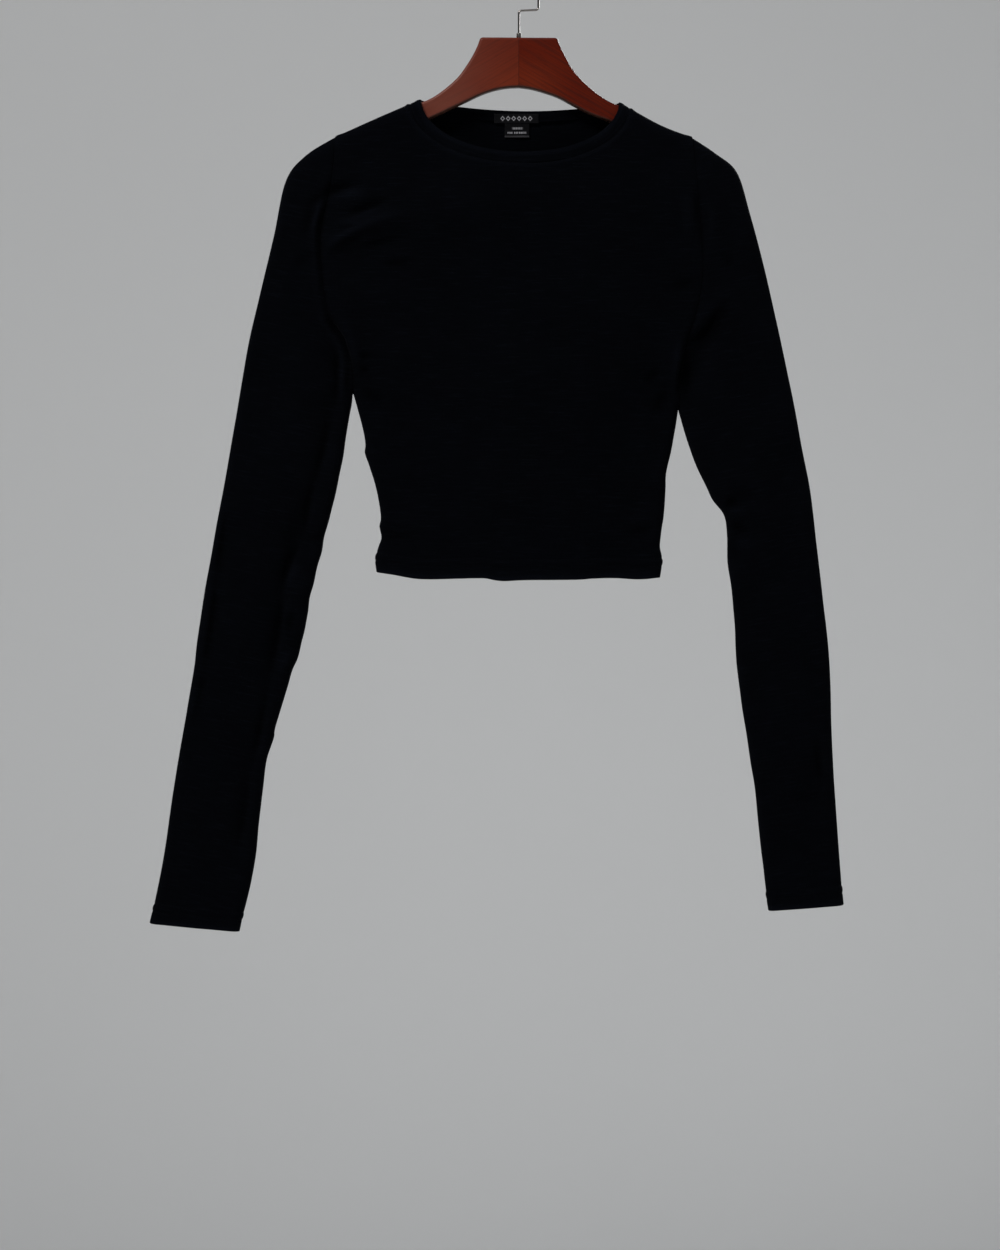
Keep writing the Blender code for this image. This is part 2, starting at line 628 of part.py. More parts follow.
def hanger_arm(shoulder, sections, flank, toward):
    """Outline of one arm: over the flank, along under the cloth, round the tip and back."""
    down = WALL + ARM_CLEARANCE
    seam = spline(shoulder, SHOULDER_POINTS)
    edge = np.vstack([seam, spline(sections, CURVE_POINTS)[1:, :2]])
    lengths = np.linspace(0.0, length_along(seam)[-1] + ARM_OVERHANG, ARM_STATIONS)
    top = across(edge, lengths, 0.0, toward)
    step = top[-1] - top[-2]
    step /= np.linalg.norm(step)
    square = np.array([-step[1], step[0]]) * -toward
    square *= np.sign(-square[1])
    top = top + (0.0, -1.0) * np.array([down / abs(square[1])])
    tip = top[-1] + square * ARM_TIP_ROUND
    turn = np.linspace(math.pi / 8, math.pi, 8)[:, None]
    round_tip = tip - square * ARM_TIP_ROUND * np.cos(turn) + step * ARM_TIP_ROUND * np.sin(turn)
    low = top[1:-1][::-1] + (0.0, -ARM_DEPTH)
    arch = np.array(ARCH[::-1]) * (toward, 1.0)
    return np.vstack([flank, top, round_tip, low, arch])


def make_hanger():
    """Wooden body: a flat outline given its thickness, with rounded edges."""
    left = hanger_arm(SHOULDER_LEFT, SLEEVE_LEFT, FLANK_LEFT, -1.0)
    right = hanger_arm(SHOULDER_RIGHT, SLEEVE_RIGHT, FLANK_RIGHT, 1.0)
    outline = np.vstack([left, right[::-1][1:]])
    mesh = bpy.data.meshes.new("hanger")
    points = [(x * MM, 0.0, z * MM) for x, z in outline]
    mesh.from_pydata(points, [], [tuple(range(len(points)))])
    piece = add_object("hanger", mesh, "wood")
    thick = piece.modifiers.new("thickness", "SOLIDIFY")
    thick.thickness = HANGER_THICKNESS * MM
    thick.offset = 0.0
    edge = piece.modifiers.new("rounded edges", "BEVEL")
    edge.width = HANGER_ROUND * MM
    edge.segments = 2
    edge.limit_method = "ANGLE"
    edge.angle_limit = math.radians(60)
    edge.use_clamp_overlap = False
    return piece


def arc(centre, radius, start, end, steps):
    """Points of an arc in the XZ plane, its angles in degrees from +X towards +Z."""
    turn = np.radians(np.linspace(start, end, steps))
    return np.stack([centre[0] + radius * np.cos(turn), centre[1] + radius * np.sin(turn)], axis=1)


def make_hook():
    """Bent wire: up from the collar, across in a jog, up again and over in the hook."""
    foot = NECK_TOP + SEAT_GAP
    centre = (0.0, WIRE_RADIUS - HOOK_RADIUS)
    jog_end = JOG_Z + JOG_RISE
    path = np.vstack([
        [(0.0, foot), (0.0, foot + 8.0)],
        arc((BEND_RADIUS, JOG_Z - BEND_RADIUS), BEND_RADIUS, 180, 93, 5),
        arc((HOOK_RADIUS - BEND_RADIUS, jog_end + BEND_RADIUS), BEND_RADIUS, -87, 0, 5),
        arc(centre, HOOK_RADIUS, 0, HOOK_END_ANGLE, 25),
    ])
    line = bpy.data.curves.new("hook", "CURVE")
    line.dimensions = "3D"
    spline_points = line.splines.new("POLY")
    spline_points.points.add(len(path) - 1)
    for point, (x, z) in zip(spline_points.points, path):
        point.co = (x * MM, 0.0, z * MM, 1.0)
    line.bevel_depth = WIRE_RADIUS * MM
    line.bevel_resolution = 3
    line.use_fill_caps = True
    return add_object("hook", line, "chrome")


def make_collar():
    """Collar at the foot of the hook: a chamfered profile turned about the wire."""
    bore = WIRE_RADIUS + SEAT_GAP
    base, cut = NECK_TOP + SEAT_GAP, COLLAR_CHAMFER
    top = base + COLLAR_HEIGHT
    profile = [(bore, top), (COLLAR_RADIUS - cut, top), (COLLAR_RADIUS, top - cut),
               (COLLAR_RADIUS, base), (bore, base)]
    mesh = bpy.data.meshes.new("hook_collar")
    edges = [(k, (k + 1) % len(profile)) for k in range(len(profile))]
    mesh.from_pydata([(r * MM, 0.0, z * MM) for r, z in profile], edges, [])
    piece = add_object("hook_collar", mesh, "chrome")
    turned = piece.modifiers.new("turned", "SCREW")
    turned.steps = turned.render_steps = COLLAR_STEPS
    turned.use_merge_vertices = True
    turned.merge_threshold = MERGE
    return piece


# ---------------------------------------------------------------- the part

def build():
    for old in list(bpy.data.objects):
        bpy.data.objects.remove(old, do_unlink=True)
    home = bpy.data.collections.new("crop_top")
    bpy.context.scene.collection.children.link(home)
    make_panel("front")
    make_panel("back")
    make_sleeve("left", SLEEVE_LEFT, ARMHOLE_LEFT, -1)
    make_sleeve("right", SLEEVE_RIGHT, ARMHOLE_RIGHT, 1)
    make_neckband()
    make_label("brand_label", BRAND_LABEL)
    make_label("care_label", CARE_LABEL)
    make_hanger()
    make_collar()
    make_hook()


build()
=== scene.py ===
"""Looks of a fitted long-sleeved crop top on its wooden hanger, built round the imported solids.

+Z is up, and -Y is the front. Left is -X, as seen from the front. The origin is the inside top
of the hook. Sizes are in millimetres until a mesh is made, and a point (x, z) lies in the
plane of the garment. The cloth is two layers that meet along the folded edges of that plane.
"""

import math

import bmesh
import bpy
import numpy as np
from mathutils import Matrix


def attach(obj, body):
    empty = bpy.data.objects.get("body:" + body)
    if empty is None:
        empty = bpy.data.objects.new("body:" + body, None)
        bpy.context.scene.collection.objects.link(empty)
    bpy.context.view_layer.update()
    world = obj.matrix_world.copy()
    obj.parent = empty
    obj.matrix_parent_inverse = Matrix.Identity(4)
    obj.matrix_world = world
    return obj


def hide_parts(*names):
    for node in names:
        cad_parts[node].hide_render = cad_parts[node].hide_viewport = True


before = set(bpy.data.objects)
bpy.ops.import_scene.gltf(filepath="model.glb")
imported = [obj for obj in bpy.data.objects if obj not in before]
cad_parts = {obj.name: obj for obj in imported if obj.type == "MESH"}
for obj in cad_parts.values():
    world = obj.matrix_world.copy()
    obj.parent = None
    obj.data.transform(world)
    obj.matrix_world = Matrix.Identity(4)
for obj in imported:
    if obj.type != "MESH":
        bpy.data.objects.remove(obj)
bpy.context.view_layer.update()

MM = 0.001
SIDE = {"front": -1.0, "back": 1.0}     # sign of the way from the middle plane to a layer

# ---------------- sizes of the garment

CLOTH = 1.0             # thickness of the jersey
HEM_CLOTH = 2.0         # a turned hem is two layers
BAND_CLOTH = 2.2        # the binding is folded over itself
SEAM_GAP = -0.5         # the pieces lap over each other where they are sewn

SHOULDER_ROUND = 10.0   # radius of the fold over the hanger's arm
EDGE_ROUND = 7.0        # radius of every other folded edge
SHOULDER_ZONE = (-190.0, -260.0)    # z between which one radius passes into the other
FULL_REACH = 110.0      # distance from the folded edges to the full fullness
EDGE_FADE = 20.0        # and to the full height of a fold
SWING = 10.0            # how far the cuffs hang forward of the shoulders
SWING_TOP = -150.0
SWING_LENGTH = 650.0
FULLNESS = (            # z, fullness of the front, fullness of the back
    (-110, 7, 6),
    (-200, 11, 8),
    (-330, 13, 9),
    (-520, 9, 7),
    (-820, 9, 9),
)

NECK_LEFT = (-84.0, -109.5)
NECK_RIGHT = (86.0, -112.0)
BAND_WIDTH = 9.0
NECKLINE = {"front": (46.0, 1.0), "back": (7.5, 2.0)}   # drop, power of the sine that draws it

SHOULDER_LEFT = (NECK_LEFT, (-120.0, -125.0), (-155.5, -141.0))
SHOULDER_RIGHT = (NECK_RIGHT, (119.0, -130.5), (146.5, -141.5))

ARMHOLE_LEFT = (        # from the shoulder to the underarm: x, z
    (-155.5, -141), (-160, -183), (-168.5, -223.5), (-167, -260),
    (-161.5, -294.5), (-149, -316), (-142, -339), (-141, -358),
)
ARMHOLE_RIGHT = (
    (146.5, -141.5), (151, -183), (155, -234.5), (154.5, -265),
    (149, -294), (141, -322), (136, -347), (135.5, -371.5),
)

# Sections across each sleeve, from the armhole to the cuff: outer x, outer z, inner x, inner z
SLEEVE_LEFT = (
    (-155.5, -141, -141, -358),
    (-181, -157, -141.5, -363),
    (-198, -178.5, -142, -369),
    (-208, -224.5, -144, -380),
    (-219, -271, -146.5, -397),
    (-230.5, -322, -150, -418),
    (-240.5, -381.5, -156.5, -449.5),
    (-250, -437, -164.5, -481),
    (-261.5, -499, -175.5, -526),
    (-272, -564.5, -185.3, -577),
    (-275.2, -592, -192.3, -597),
    (-281.4, -630, -205.7, -641),
    (-283.8, -643, -207.6, -651.5),
    (-287, -661, -214.2, -672),
    (-292, -692, -217.6, -703),
    (-301.4, -755.5, -225, -766),
    (-312, -807.5, -237, -814.5),
)
SLEEVE_RIGHT = (
    (146.5, -141.5, 135.5, -371.5),
    (167.5, -155.5, 136, -375.5),
    (185.5, -171.5, 137.5, -381),
    (196.5, -206.5, 140.5, -392),
    (208, -250, 144.5, -404.5),
    (218.5, -296.5, 150.5, -421),
    (229, -346, 158.7, -438),
    (233.3, -368, 164.4, -450),
    (237.5, -390, 174, -463),
    (246, -434.5, 176.2, -479.5),
    (249.6, -461, 176.4, -498),
    (252.5, -488, 179.4, -517.5),
    (258, -536.5, 182.5, -551.5),
    (263, -582, 184.5, -589),
    (265, -641, 191, -638.5),
    (267, -687.5, 198.5, -687),
    (270.5, -740.5, 204.5, -741),
    (274.5, -792, 211, -797),
)
SIDE_SEAMS = (          # from the hem to the underarm: left x, left z, right x, right z
    (-120.5, -510.5, 119.5, -515),
    (-121.5, -500.5, 121.5, -500.5),
    (-119, -489.5, 119.7, -490),
    (-117, -482, 120.2, -481.5),
    (-118.6, -472.5, 121.3, -472.5),
    (-117.3, -463.5, 122.6, -464),
    (-121, -441, 124.4, -441),
    (-126.5, -422, 125, -427),
    (-130.4, -410, 129.2, -408.5),
    (-130, -402.5, 131, -399),
    (-133.3, -386, 133.2, -387),
    (-141, -358, 135.5, -371.5),
)
HEM = (
    (-120.5, -510.5), (-107, -512.4), (-90, -515.5), (-75, -516.3), (-50, -515.6),
    (-30, -515.3), (-21, -516.9), (-12, -517.7), (5, -516.9), (38, -516.7),
    (54, -516.3), (64, -515.5), (82, -515.2), (102, -516.3), (119.5, -515),
)

# Largest folds, which the solids have too, by layer: start x z, middle x z, end x z, half width,
# height (a trough is negative)
FOLDS = {
    "front": (
        (-168, -195, -151, -186, -136, -181, 6, -1.6),
        (-160, -215, -136, -206.5, -110.5, -198, 6, -2.2),
        (-160, -218.5, -145, -212.5, -117.5, -215, 5, 1.6),
        (-164, -240, -143, -227, -82, -208, 9, 3.6),
        (-133, -235, -107, -230, -79, -229, 9, -2.4),
        (-160, -237, -16, -186, 35, -169, 26, 3),
        (-168, -288, -154, -322, -146, -354, 7, -4.2),
        (-156, -288, -142, -318, -136, -352, 8, 3),
        (-153, -318, -157, -382, -175, -476, 7, -2.8),
        (-171, -433, -196, -515, -216, -647, 8, -3.4),
        (-216, -647, -228, -690, -239, -766, 7, -2.4),
        (-249, -459, -258, -543, -272, -636, 7, -2.8),
        (140, -320, 158, -305, 173, -281, 6, -2.4),
        (145, -366, 153, -332, 172, -298, 11, -4.6),
        (133, -300, 130, -335, 128, -370, 9, 2.4),
        (178, -455, 190, -450, 210, -446, 7, -2.8),
        (188, -468, 200, -464, 216, -466, 8, 2.2),
    ),
    "back": (
        (-165, -226, -120, -208, -78, -202, 9, 3),
        (158, -232, 120, -214, 84, -206, 9, 2.6),
        (-62, -230, -52, -330, -58, -450, 24, 2.4),
        (66, -250, 58, -350, 66, -470, 22, 2.2),
        (-160, -330, -176, -420, -200, -520, 8, -3),
        (-236, -420, -252, -540, -270, -700, 8, -3),
        (160, -330, 172, -400, 204, -460, 9, -3),
        (206, -500, 222, -590, 232, -700, 8, -3),
    ),
}
FOLD_TAPER = 0.35       # share of its length over which a fold comes and goes

# Finer creases, by piece and layer: start x z, middle x z, end x z, half width, height of the
# crease itself, and in some the step up from its right to its left, as one walks along it. A
# crease of piece "all" crosses a seam. The place of a row in the table is the seed of its noise
CREASES = {
    "all front": (
        (-182, -208, -161, -191, -122, -183, 3, -2, -1.1),
    ),
    "torso front": (
        # left shoulder and armhole
        (-156, -199, -146, -193.5, -128, -190, 4, 0.9),
        (-150, -212, -128, -204, -103, -195, 2.8, -2, -1.3),
        (-150, -196, -138, -193, -124, -191.5, 5, 1.7),
        (-162, -221, -146, -215.5, -128, -217, 2.2, 1.4),
        (-158, -227.5, -145, -221.5, -129, -221, 2, -1.2),
        (-166, -246, -138, -224, -80, -205.5, 3.4, 1.7, 1.5),
        (-140, -237, -118, -231.5, -94, -228, 2.4, -1.1, 0.9),
        (-123, -251, -103, -249, -84, -247, 4, -1, 0.6),
        (-146, -170, -132, -163, -116, -160, 8, -1.7),
        # left underarm: the torso lies over the sleeve
        (-154, -290, -141, -315, -135.5, -344, 4.6, 1.3),
        (-136, -331, -130.5, -328.5, -122, -330.5, 2.6, -2),
        (-135.5, -342, -130.5, -340, -124, -341.5, 2.4, -1.8),
        (-134, -355, -124, -362, -112, -372, 5, -1.5),
        (-128, -345, -112, -352, -92, -364, 8, 1.5),
        # right shoulder, armhole and underarm
        (147, -180, 151.5, -206, 149, -232, 3.2, -1.4),
        (140, -186, 143, -210, 140.5, -238, 5, 1.5),
        (151, -262, 140, -268, 126, -269, 3.6, -1.2),
        (137.5, -306, 133.5, -334, 130.5, -366, 3.2, 2.1),
        (122, -339, 112, -346, 104, -352, 4, -1.4),
        (128, -352, 120, -366, 114, -384, 5, -1.5),
        (98, -360, 94, -385, 95, -412, 9, -1.3),
        # soft broad drags over the chest and the waist
        (-96, -150, -70, -176, -20, -196, 16, -1.7),
        (40, -176, 84, -176, 128, -196, 16, 1.9),
        (-70, -262, 0, -246, 70, -262, 20, -1.5),
        (-84, -300, -40, -318, 20, -322, 18, 1.5),
        (-112, -420, -88, -430, -58, -432, 10, 1.5),
        (-113, -452, -98, -458, -80, -457, 6, -1.5),
        (-116, -478, -100, -480, -84, -477, 5, -1.5),
        (118, -446, 100, -452, 78, -450, 7, -1.3),
        (116, -470, 104, -476, 90, -476, 5, -1.3),
        (-30, -400, -24, -446, -32, -500, 16, 1.5),
        (44, -420, 52, -460, 48, -508, 14, -1.3),
    ),
    "left front": (
        (-162, -196, -170.5, -211, -175.5, -232, 2.8, 2.1),
        (-170, -197, -179, -214, -184, -238, 4, -1.2),
        (-172, -238, -182, -246, -196, -250, 4.5, -1.2),
        (-146.5, -320, -145.2, -340, -146, -366, 2.2, -2.6),
        (-151, -314, -150, -342, -151.5, -376, 2.4, 1.2),
        (-155.5, -318, -154.2, -344, -158.5, -380, 2.2, -2.2),
        (-158.5, -372, -166, -412, -176, -440, 2.6, -1.8, 1),
        (-172, -428, -177, -452, -184.5, -490, 2.8, -2, 1.2),
        (-183, -482, -195, -508, -200.5, -532, 2.6, -2.1, 1.4),
        (-199, -524, -203, -562, -212.5, -610, 2.8, -2.1, 1.4),
        (-211, -600, -217.5, -640, -228, -690, 2.8, -1.8, 0.9),
        (-227, -680, -232, -716, -239, -752, 3, -1.4, 0.6),
        (-250, -458, -252.5, -486, -257.5, -520, 2.6, -1.8, -1),
        (-256.5, -514, -260.5, -552, -268, -600, 2.6, -1.8, -1),
        (-266, -592, -271, -616, -276, -642, 3, -1.4, -0.6),
        (-216, -400, -226, -430, -232, -470, 9, 1.5),
        (-186, -330, -200, -372, -210, -420, 12, -1.7),
        (-228, -520, -232, -560, -242, -600, 9, 1.5),
        (-184, -505, -191, -514, -196, -527, 4, 1.5),
        (-189, -540, -194, -552, -197, -568, 4, -1.4),
        (-190, -575, -198, -588, -204, -604, 4, 1.4),
        (-262, -690, -268, -722, -276, -760, 8, -1.3),
    ),
    "right front": (
        (180, -272, 158, -303, 138, -318, 4, -2, -2.6),
        (144, -306, 141.5, -338, 139, -378, 4.6, -3.4),
        (170, -288, 156, -322, 148, -370, 9, -2.2),
        (158, -196, 164, -214, 160, -240, 3, 1.4),
        (169, -240, 176, -246, 184, -248, 4, -1.2),
        (152, -330, 164, -344, 170, -366, 6, -1.7),
        (142, -388, 152, -404, 168, -424, 7, 1.5),
        (174, -452, 179, -452.5, 188, -449, 2.8, -2.7),
        (176, -461, 184, -460, 195, -462, 3, 2.2),
        (178, -474, 186, -474, 198, -480, 3.4, -1.8),
        (180, -490, 190, -488, 204, -492, 5, 1.5),
        (222, -440, 232, -456, 238, -480, 8, -1.5),
        (198, -370, 208, -410, 218, -450, 12, 1.7),
        (215, -520, 222, -570, 226, -620, 12, -1.7),
        (252, -646, 254, -672, 258, -700, 3.4, -1.4, 0.8),
        (258, -694, 244, -700.5, 226, -701, 4, -1.2),
        (208, -640, 214, -690, 224, -744, 9, 1.3),
    ),
    "torso back": (
        (-160, -196, -140, -188, -112, -186, 3.6, -1.7, 0.9),
        (-160, -222, -136, -214, -100, -210, 3.4, 1.7, 1),
        (150, -202, 130, -194, 104, -190, 3.6, -1.7, -0.9),
        (152, -232, 128, -224, 96, -216, 3.6, 1.5),
        (-140, -345, -116, -356, -88, -372, 6, -1.9),
        (130, -350, 110, -362, 86, -380, 6, -1.9),
        (-112, -436, -84, -446, -50, -448, 9, -1.7),
        (114, -430, 88, -442, 56, -440, 9, 1.7),
        (-60, -140, 0, -152, 62, -141, 9, -2.1),
        (-40, -260, 10, -270, 60, -262, 16, 1.7),
        (110, -474, 92, -480, 70, -478, 5, -1.5),
    ),
    "left back": (
        (-160, -334, -170, -400, -188, -462, 3.2, -1.8, 1),
        (-186, -455, -200, -520, -212, -590, 3.2, -1.7, 1),
        (-236, -420, -252, -540, -264, -640, 3.4, -1.7, -0.9),
        (-176, -232, -190, -250, -200, -280, 6, 1.7),
        (-180, -476, -198, -482, -216, -480, 5, -1.7),
        (-212, -300, -222, -360, -232, -410, 12, 1.7),
    ),
    "right back": (
        (158, -330, 172, -400, 200, -450, 3.4, -1.8, -1),
        (178, -456, 192, -452, 214, -450, 3.4, -2.1, 0.9),
        (182, -472, 196, -470, 218, -474, 5, 1.9),
        (206, -500, 222, -590, 230, -680, 3.4, -1.7, -0.9),
        (196, -300, 208, -350, 218, -410, 12, 1.5),
    ),
}
WIDE = 6.0              # half width from which a crease is a soft wave, which isn't rubbed
CREASE_TAPER = 0.45
CREASE_UNEVEN = 0.45    # share of a crease's height that comes and goes along it
CREASE_SPACING = 14.0   # and over what length it does
CREASE_EDGE = 5.0       # creases of one layer die away over this distance to a folded edge
CREASE_SEAM = 3.5       # and those of one piece over this distance to an armhole,
CREASE_LEFT = 0.25      # down to this share

# Puckers along the sewn edges: edge, from z, to z, spacing, height, reach
PUCKERS = (
    ("left side", -505, -392, 15, 0.9, 14),
    ("right side", -508, -392, 19, 0.6, 13),
    ("left underarm", -620, -440, 13, 0.9, 11),
    ("left underarm", -440, -370, 18, 0.5, 10),
    ("left underarm", -800, -620, 22, 0.5, 10),
    ("right underarm", -600, -450, 17, 0.7, 11),
    ("right underarm", -780, -600, 24, 0.5, 10),
    ("left outer", -790, -240, 31, 0.35, 16),
    ("right outer", -780, -240, 34, 0.35, 16),
)
PUCKER_TAPER = 0.2      # share of the stretch over which they come and go

# Waves of the hanging cloth: spacing across it, height, ratio of that spacing to the one down it
WAVES = ((34.0, 0.55, 0.55), (13.0, 0.22, 0.55), (6.0, 0.06, 1.0))

# Seeds of the noise
PUCKER_SEED, SEAM_SEED, WAVE_SEED = 40, 60, {"front": 70, "back": 80}
HEM_SEED, CUFF_SEED, BAND_SEED = 90, 92, 95

# Sewing. Of each armhole: its path, half the width of the dip into its seam, and how deep that
# is, with the row of the path first
ARMHOLES = {
    "left": (ARMHOLE_LEFT, 2.6, (
        (0, 0.2), (0.9, 0.3), (1.4, 2), (2.1, 2.3), (2.7, 1.6), (3.2, 0.9), (3.9, 0.7),
        (4.4, 3.2), (5, 3), (5.6, 1.6), (6.3, 1), (7, 0))),
    "right": (ARMHOLE_RIGHT, 2.1, (
        (0, 0.1), (1, 0.2), (1.4, 0.8), (2, 0.7), (2.5, 0.25), (3.5, 0.3), (4.2, 0.8),
        (4.9, 1.6), (6, 1.4), (6.6, 0.8), (7, 0))),
}
SEAM_UNEVEN = 0.3       # share of the dip that comes and goes along the seam
SEAM_SPACINGS = 24.0    # how many times it does
SEAM_TUCK = 0.45        # the edge that would catch the light is tucked under the other piece
SEAM_TUCK_WIDTH = 0.8
SEAM_SWELL = 0.22       # share of the dip by which the seam allowance lifts the sleeve beside it
SEAM_SWELL_AT = 5.0
SEAM_SWELL_WIDTH = 2.6
SEAM_STEP = 0.8         # the body stands proud of the sleeve where the seam crosses the shoulder
SEAM_STEP_LENGTH = 0.04     # share of the seam
SEAM_STEP_WIDTH = 5.0
STITCH_ROWS = (9.3, 15.7)   # the two needle rows of a hem, above its edge
STITCH_LENGTH = 2.5
STITCH_SHARE = 0.72     # share of that length that the thread shows
THREAD_RADIUS = 0.2
STITCH_SINK = 0.35      # a row of stitches pulls the cloth in
STITCH_WIDTH = 0.9
HEM_PUFF = 0.3          # the cloth puffs up between the two rows
HEM_STEP = 0.35         # the turned cloth stands proud of the single one
HEM_ROLL = 0.5          # the edge rolls a little out and in
HEM_ROLL_WIDTH = 5.0
HEM_ROLL_SPACING = 26.0
NECK_PUFF = 0.75        # and under the neckband, where its seam allowance lies
NECK_PUFF_AT = 2.4
NECK_PUFF_WIDTH = 1.5
NECK_STITCH_AT = 1.3    # below the neckband's seam
NECK_STITCH_SINK, NECK_STITCH_WIDTH = 0.15, 0.5
NECK_DIP, NECK_DIP_WIDTH = 0.5, 0.9     # into the seam of the neckband, on both sides of it
BAND_SWELL, BAND_SWELL_AT, BAND_SWELL_WIDTH = 0.45, 2.2, 1.9    # of its rolled edge
BAND_RIPPLE, BAND_RIPPLE_POINTS = 0.12, 4.0

# Labels inside the back of the neck: middle x, top z, width, height, depth below the outside
# of the cloth at the top and lower down, and how far the lower edge curls away
BRAND_LABEL = (-2.0, -119.9, 38.0, 7.8, 2.45, 2.45, 0.15)
CARE_LABEL = (-1.5, -127.3, 21.0, 12.4, 2.4, 1.35, 0.9)
LABEL_CLOTH = 0.35
DIAMOND_STEP = 4.7

# Hanger
HANGER_THICKNESS = 10.0
HANGER_ROUND = 2.5
ARM_DROP = 2.7          # from the folded edge of the cloth down to the wood
ARM_DEPTH = 17.5
ARM_OVERHANG = 16.0     # how far an arm reaches past the shoulder seam, to where its tip rounds
ARM_TIP_ROUND = 7.9
HEAD_CORNER = 3.0       # rounding of the head's two corners
FLANK_LEFT = (          # top edge of the wood from its head to the garment: x, z
    (-32.6, -57), (-35.3, -64.5), (-39.4, -72.8), (-44.9, -81.6), (-51.9, -91),
    (-61.5, -99.8), (-70.6, -106.5), (-78.5, -110.8),
)
FLANK_RIGHT = (
    (32.6, -57.4), (35.2, -64.5), (39.7, -73.6), (44.9, -83), (53.1, -93.2), (63.7, -102.8),
    (73.6, -109.7), (80.5, -113.3),
)
ARCH_LEFT = (           # lower edge of the wood, from the middle outwards: x, z
    (0, -99.4), (-11, -100.1), (-22, -102.3), (-33, -106.2), (-45, -111.9),
    (-60, -118.9), (-78, -127.6),
)
ARCH_RIGHT = (
    (0, -99.4), (11, -101), (22, -104.1), (33, -108), (45, -114.4),
    (60, -122), (78, -128.8),
)
WIRE_RADIUS = 0.9
HOOK_RADIUS = 16.6      # from the hook's middle to the wire's middle
HOOK_FOOT = -56.7
JOG_Z = -33.8
JOG_RISE = 0.6
BEND_RADIUS = 2.3
HOOK_END_ANGLE = 205.0
COLLAR_PROFILE = (      # radius, height above the hook's foot
    (1.2, 3.7), (1.6, 3.7), (1.85, 3.55), (2, 3.2), (2, 2.5), (1.8, 2.3), (1.8, 2),
    (2, 1.8), (2, 0.5), (1.85, 0.15), (1.6, 0), (1.2, 0),
)

# Looks: colours are linear
WALE = 0.75             # width of a column of stitches
COURSE = 0.55           # height of a row of them
BLACK = (0.0002, 0.0003, 0.0007, 1.0)
BLACK_HIGH = (0.0032, 0.0041, 0.0066, 1.0)
RUB_AND_SHADE_TONE = 0.35        # how much a ridge is painted paler, partly as rubbed cloth and partly as painted highlight, and a trough darker, as painted shade
RUB_AND_SHADE_HEIGHT = 1.8       # the relief at which that is nearly full
LABEL_BLACK = ((0.0008, 0.0009, 0.0012, 1.0), (0.005, 0.005, 0.007, 1.0))
LABEL_THREAD = (0.30, 0.30, 0.32, 1.0)
CHROME = (0.30, 0.28, 0.27, 1.0)
COLLAR_METAL = (0.22, 0.21, 0.2, 1.0)
WOOD_LEFT = ((0.145, 0.021, 0.009, 1.0), (0.105, 0.013, 0.005, 1.0))
WOOD_RIGHT = ((0.125, 0.011, 0.002, 1.0), (0.080, 0.0055, 0.001, 1.0))
WOOD_PAINTED_SHINE = (0.190, 0.068, 0.048, 1.0)      # painted reflection where the varnish shines, out along the left arm
WOOD_PAINTED_UNDERSIDE = (0.050, 0.025, 0.018, 1.0)     # painted reflection and shade on faces turned down
WOOD_WARM = (0.200, 0.030, 0.009, 1.0)      # lower middle
WOOD_DARK = (0.030, 0.006, 0.004, 1.0)
WOOD_PORE = (0.012, 0.003, 0.002, 1.0)
GRAIN_COS, GRAIN_SIN = math.cos(math.radians(30.0)), math.sin(math.radians(30.0))
WALL_COLOUR = (0.61, 0.62, 0.63, 1.0)
FLOOR_COLOUR = (0.62, 0.62, 0.61, 1.0)
WORLD_COLOUR = (0.92, 0.96, 1.0, 1.0)
WORLD_STRENGTH = 0.09
ROOM_COLOUR = (0.42, 0.43, 0.42, 1.0)   # what shows past the wall
WALL_Y, WALL_TOP, FLOOR_Z, STAGE_REACH = 3.4, 5.0, -1.8, 9.0
FLOOR_GLOW = 0.22       # keeps the floor pale beyond the lights
LIGHTS = (              # name, place, aim, size, power, colour
    ("key", (-2.3, -3.0, 3.3), (0.0, 0.0, -0.4), 1.5, 190.0, (1.0, 0.98, 0.96)),
    ("fill", (2.4, -3.4, -0.4), (0.0, 0.0, -0.5), 2.0, 6.0, (0.94, 0.97, 1.0)),
    ("rear", (1.3, 3.2, 1.0), (1.3, 0.0, 1.0), 1.5, 110.0, (1.0, 0.99, 0.97)),
    ("side", (3.0, 0.1, 0.9), (0.0, 0.0, -0.4), 1.5, 14.0, (0.97, 0.98, 1.0)),
    ("ceiling", (0.0, -0.4, 1.9), (0.0, 0.0, 0.0), 1.2, 6.0, (1.0, 1.0, 1.0)),
    ("bounce", (0.1, -1.7, -1.7), (0.0, 0.0, -0.85), 1.2, 2.0, (0.75, 0.88, 1.0)),
    ("wall", (0.2, 1.0, -1.5), (0.1, 3.4, -1.0), 1.6, 13.0, (0.98, 0.99, 1.0)),
)
CAMERA_X, CAMERA_Z = -0.016, -0.556
CAMERA_DISTANCE, FRAME_HEIGHT = 2.6, 1.0625

# How finely the cloth is divided
CURVE_POINTS = 160
SHOULDER_POINTS = 12
PAST_END = 80.0         # how far a folded edge is run on past its end
EDGE_ARC_STEPS = 6
PANEL_STEP = {"front": 2.1, "back": 2.5}
SIDE_LENGTH, ARMHOLE_LENGTH = 135.0, 203.0  # divided by the step of a panel
SHOULDER_STEPS = {"left": 26, "right": 22}
NECK_STEPS = {"front": 116, "back": 92}
SLEEVE_STEP = 2.5
SLEEVE_COLUMNS = 50     # across one layer, between the rounded edges
BAND_ROWS = 9
BLOCK = 4000            # points measured at a time
SIDE_RIM = 0.15         # share of half the thickness by which the rim along a side seam bulges
HEM_LEVELS = np.linspace(0.0, 18.0, 22)   # heights of the rows that shape a hem


# ---------------- curves in the garment's plane

def smooth(t):
    """Ease from 0 to 1 with flat ends: 3 t squared less 2 t cubed."""
    t = np.clip(t, 0.0, 1.0)
    return t * t * (3.0 - 2.0 * t)


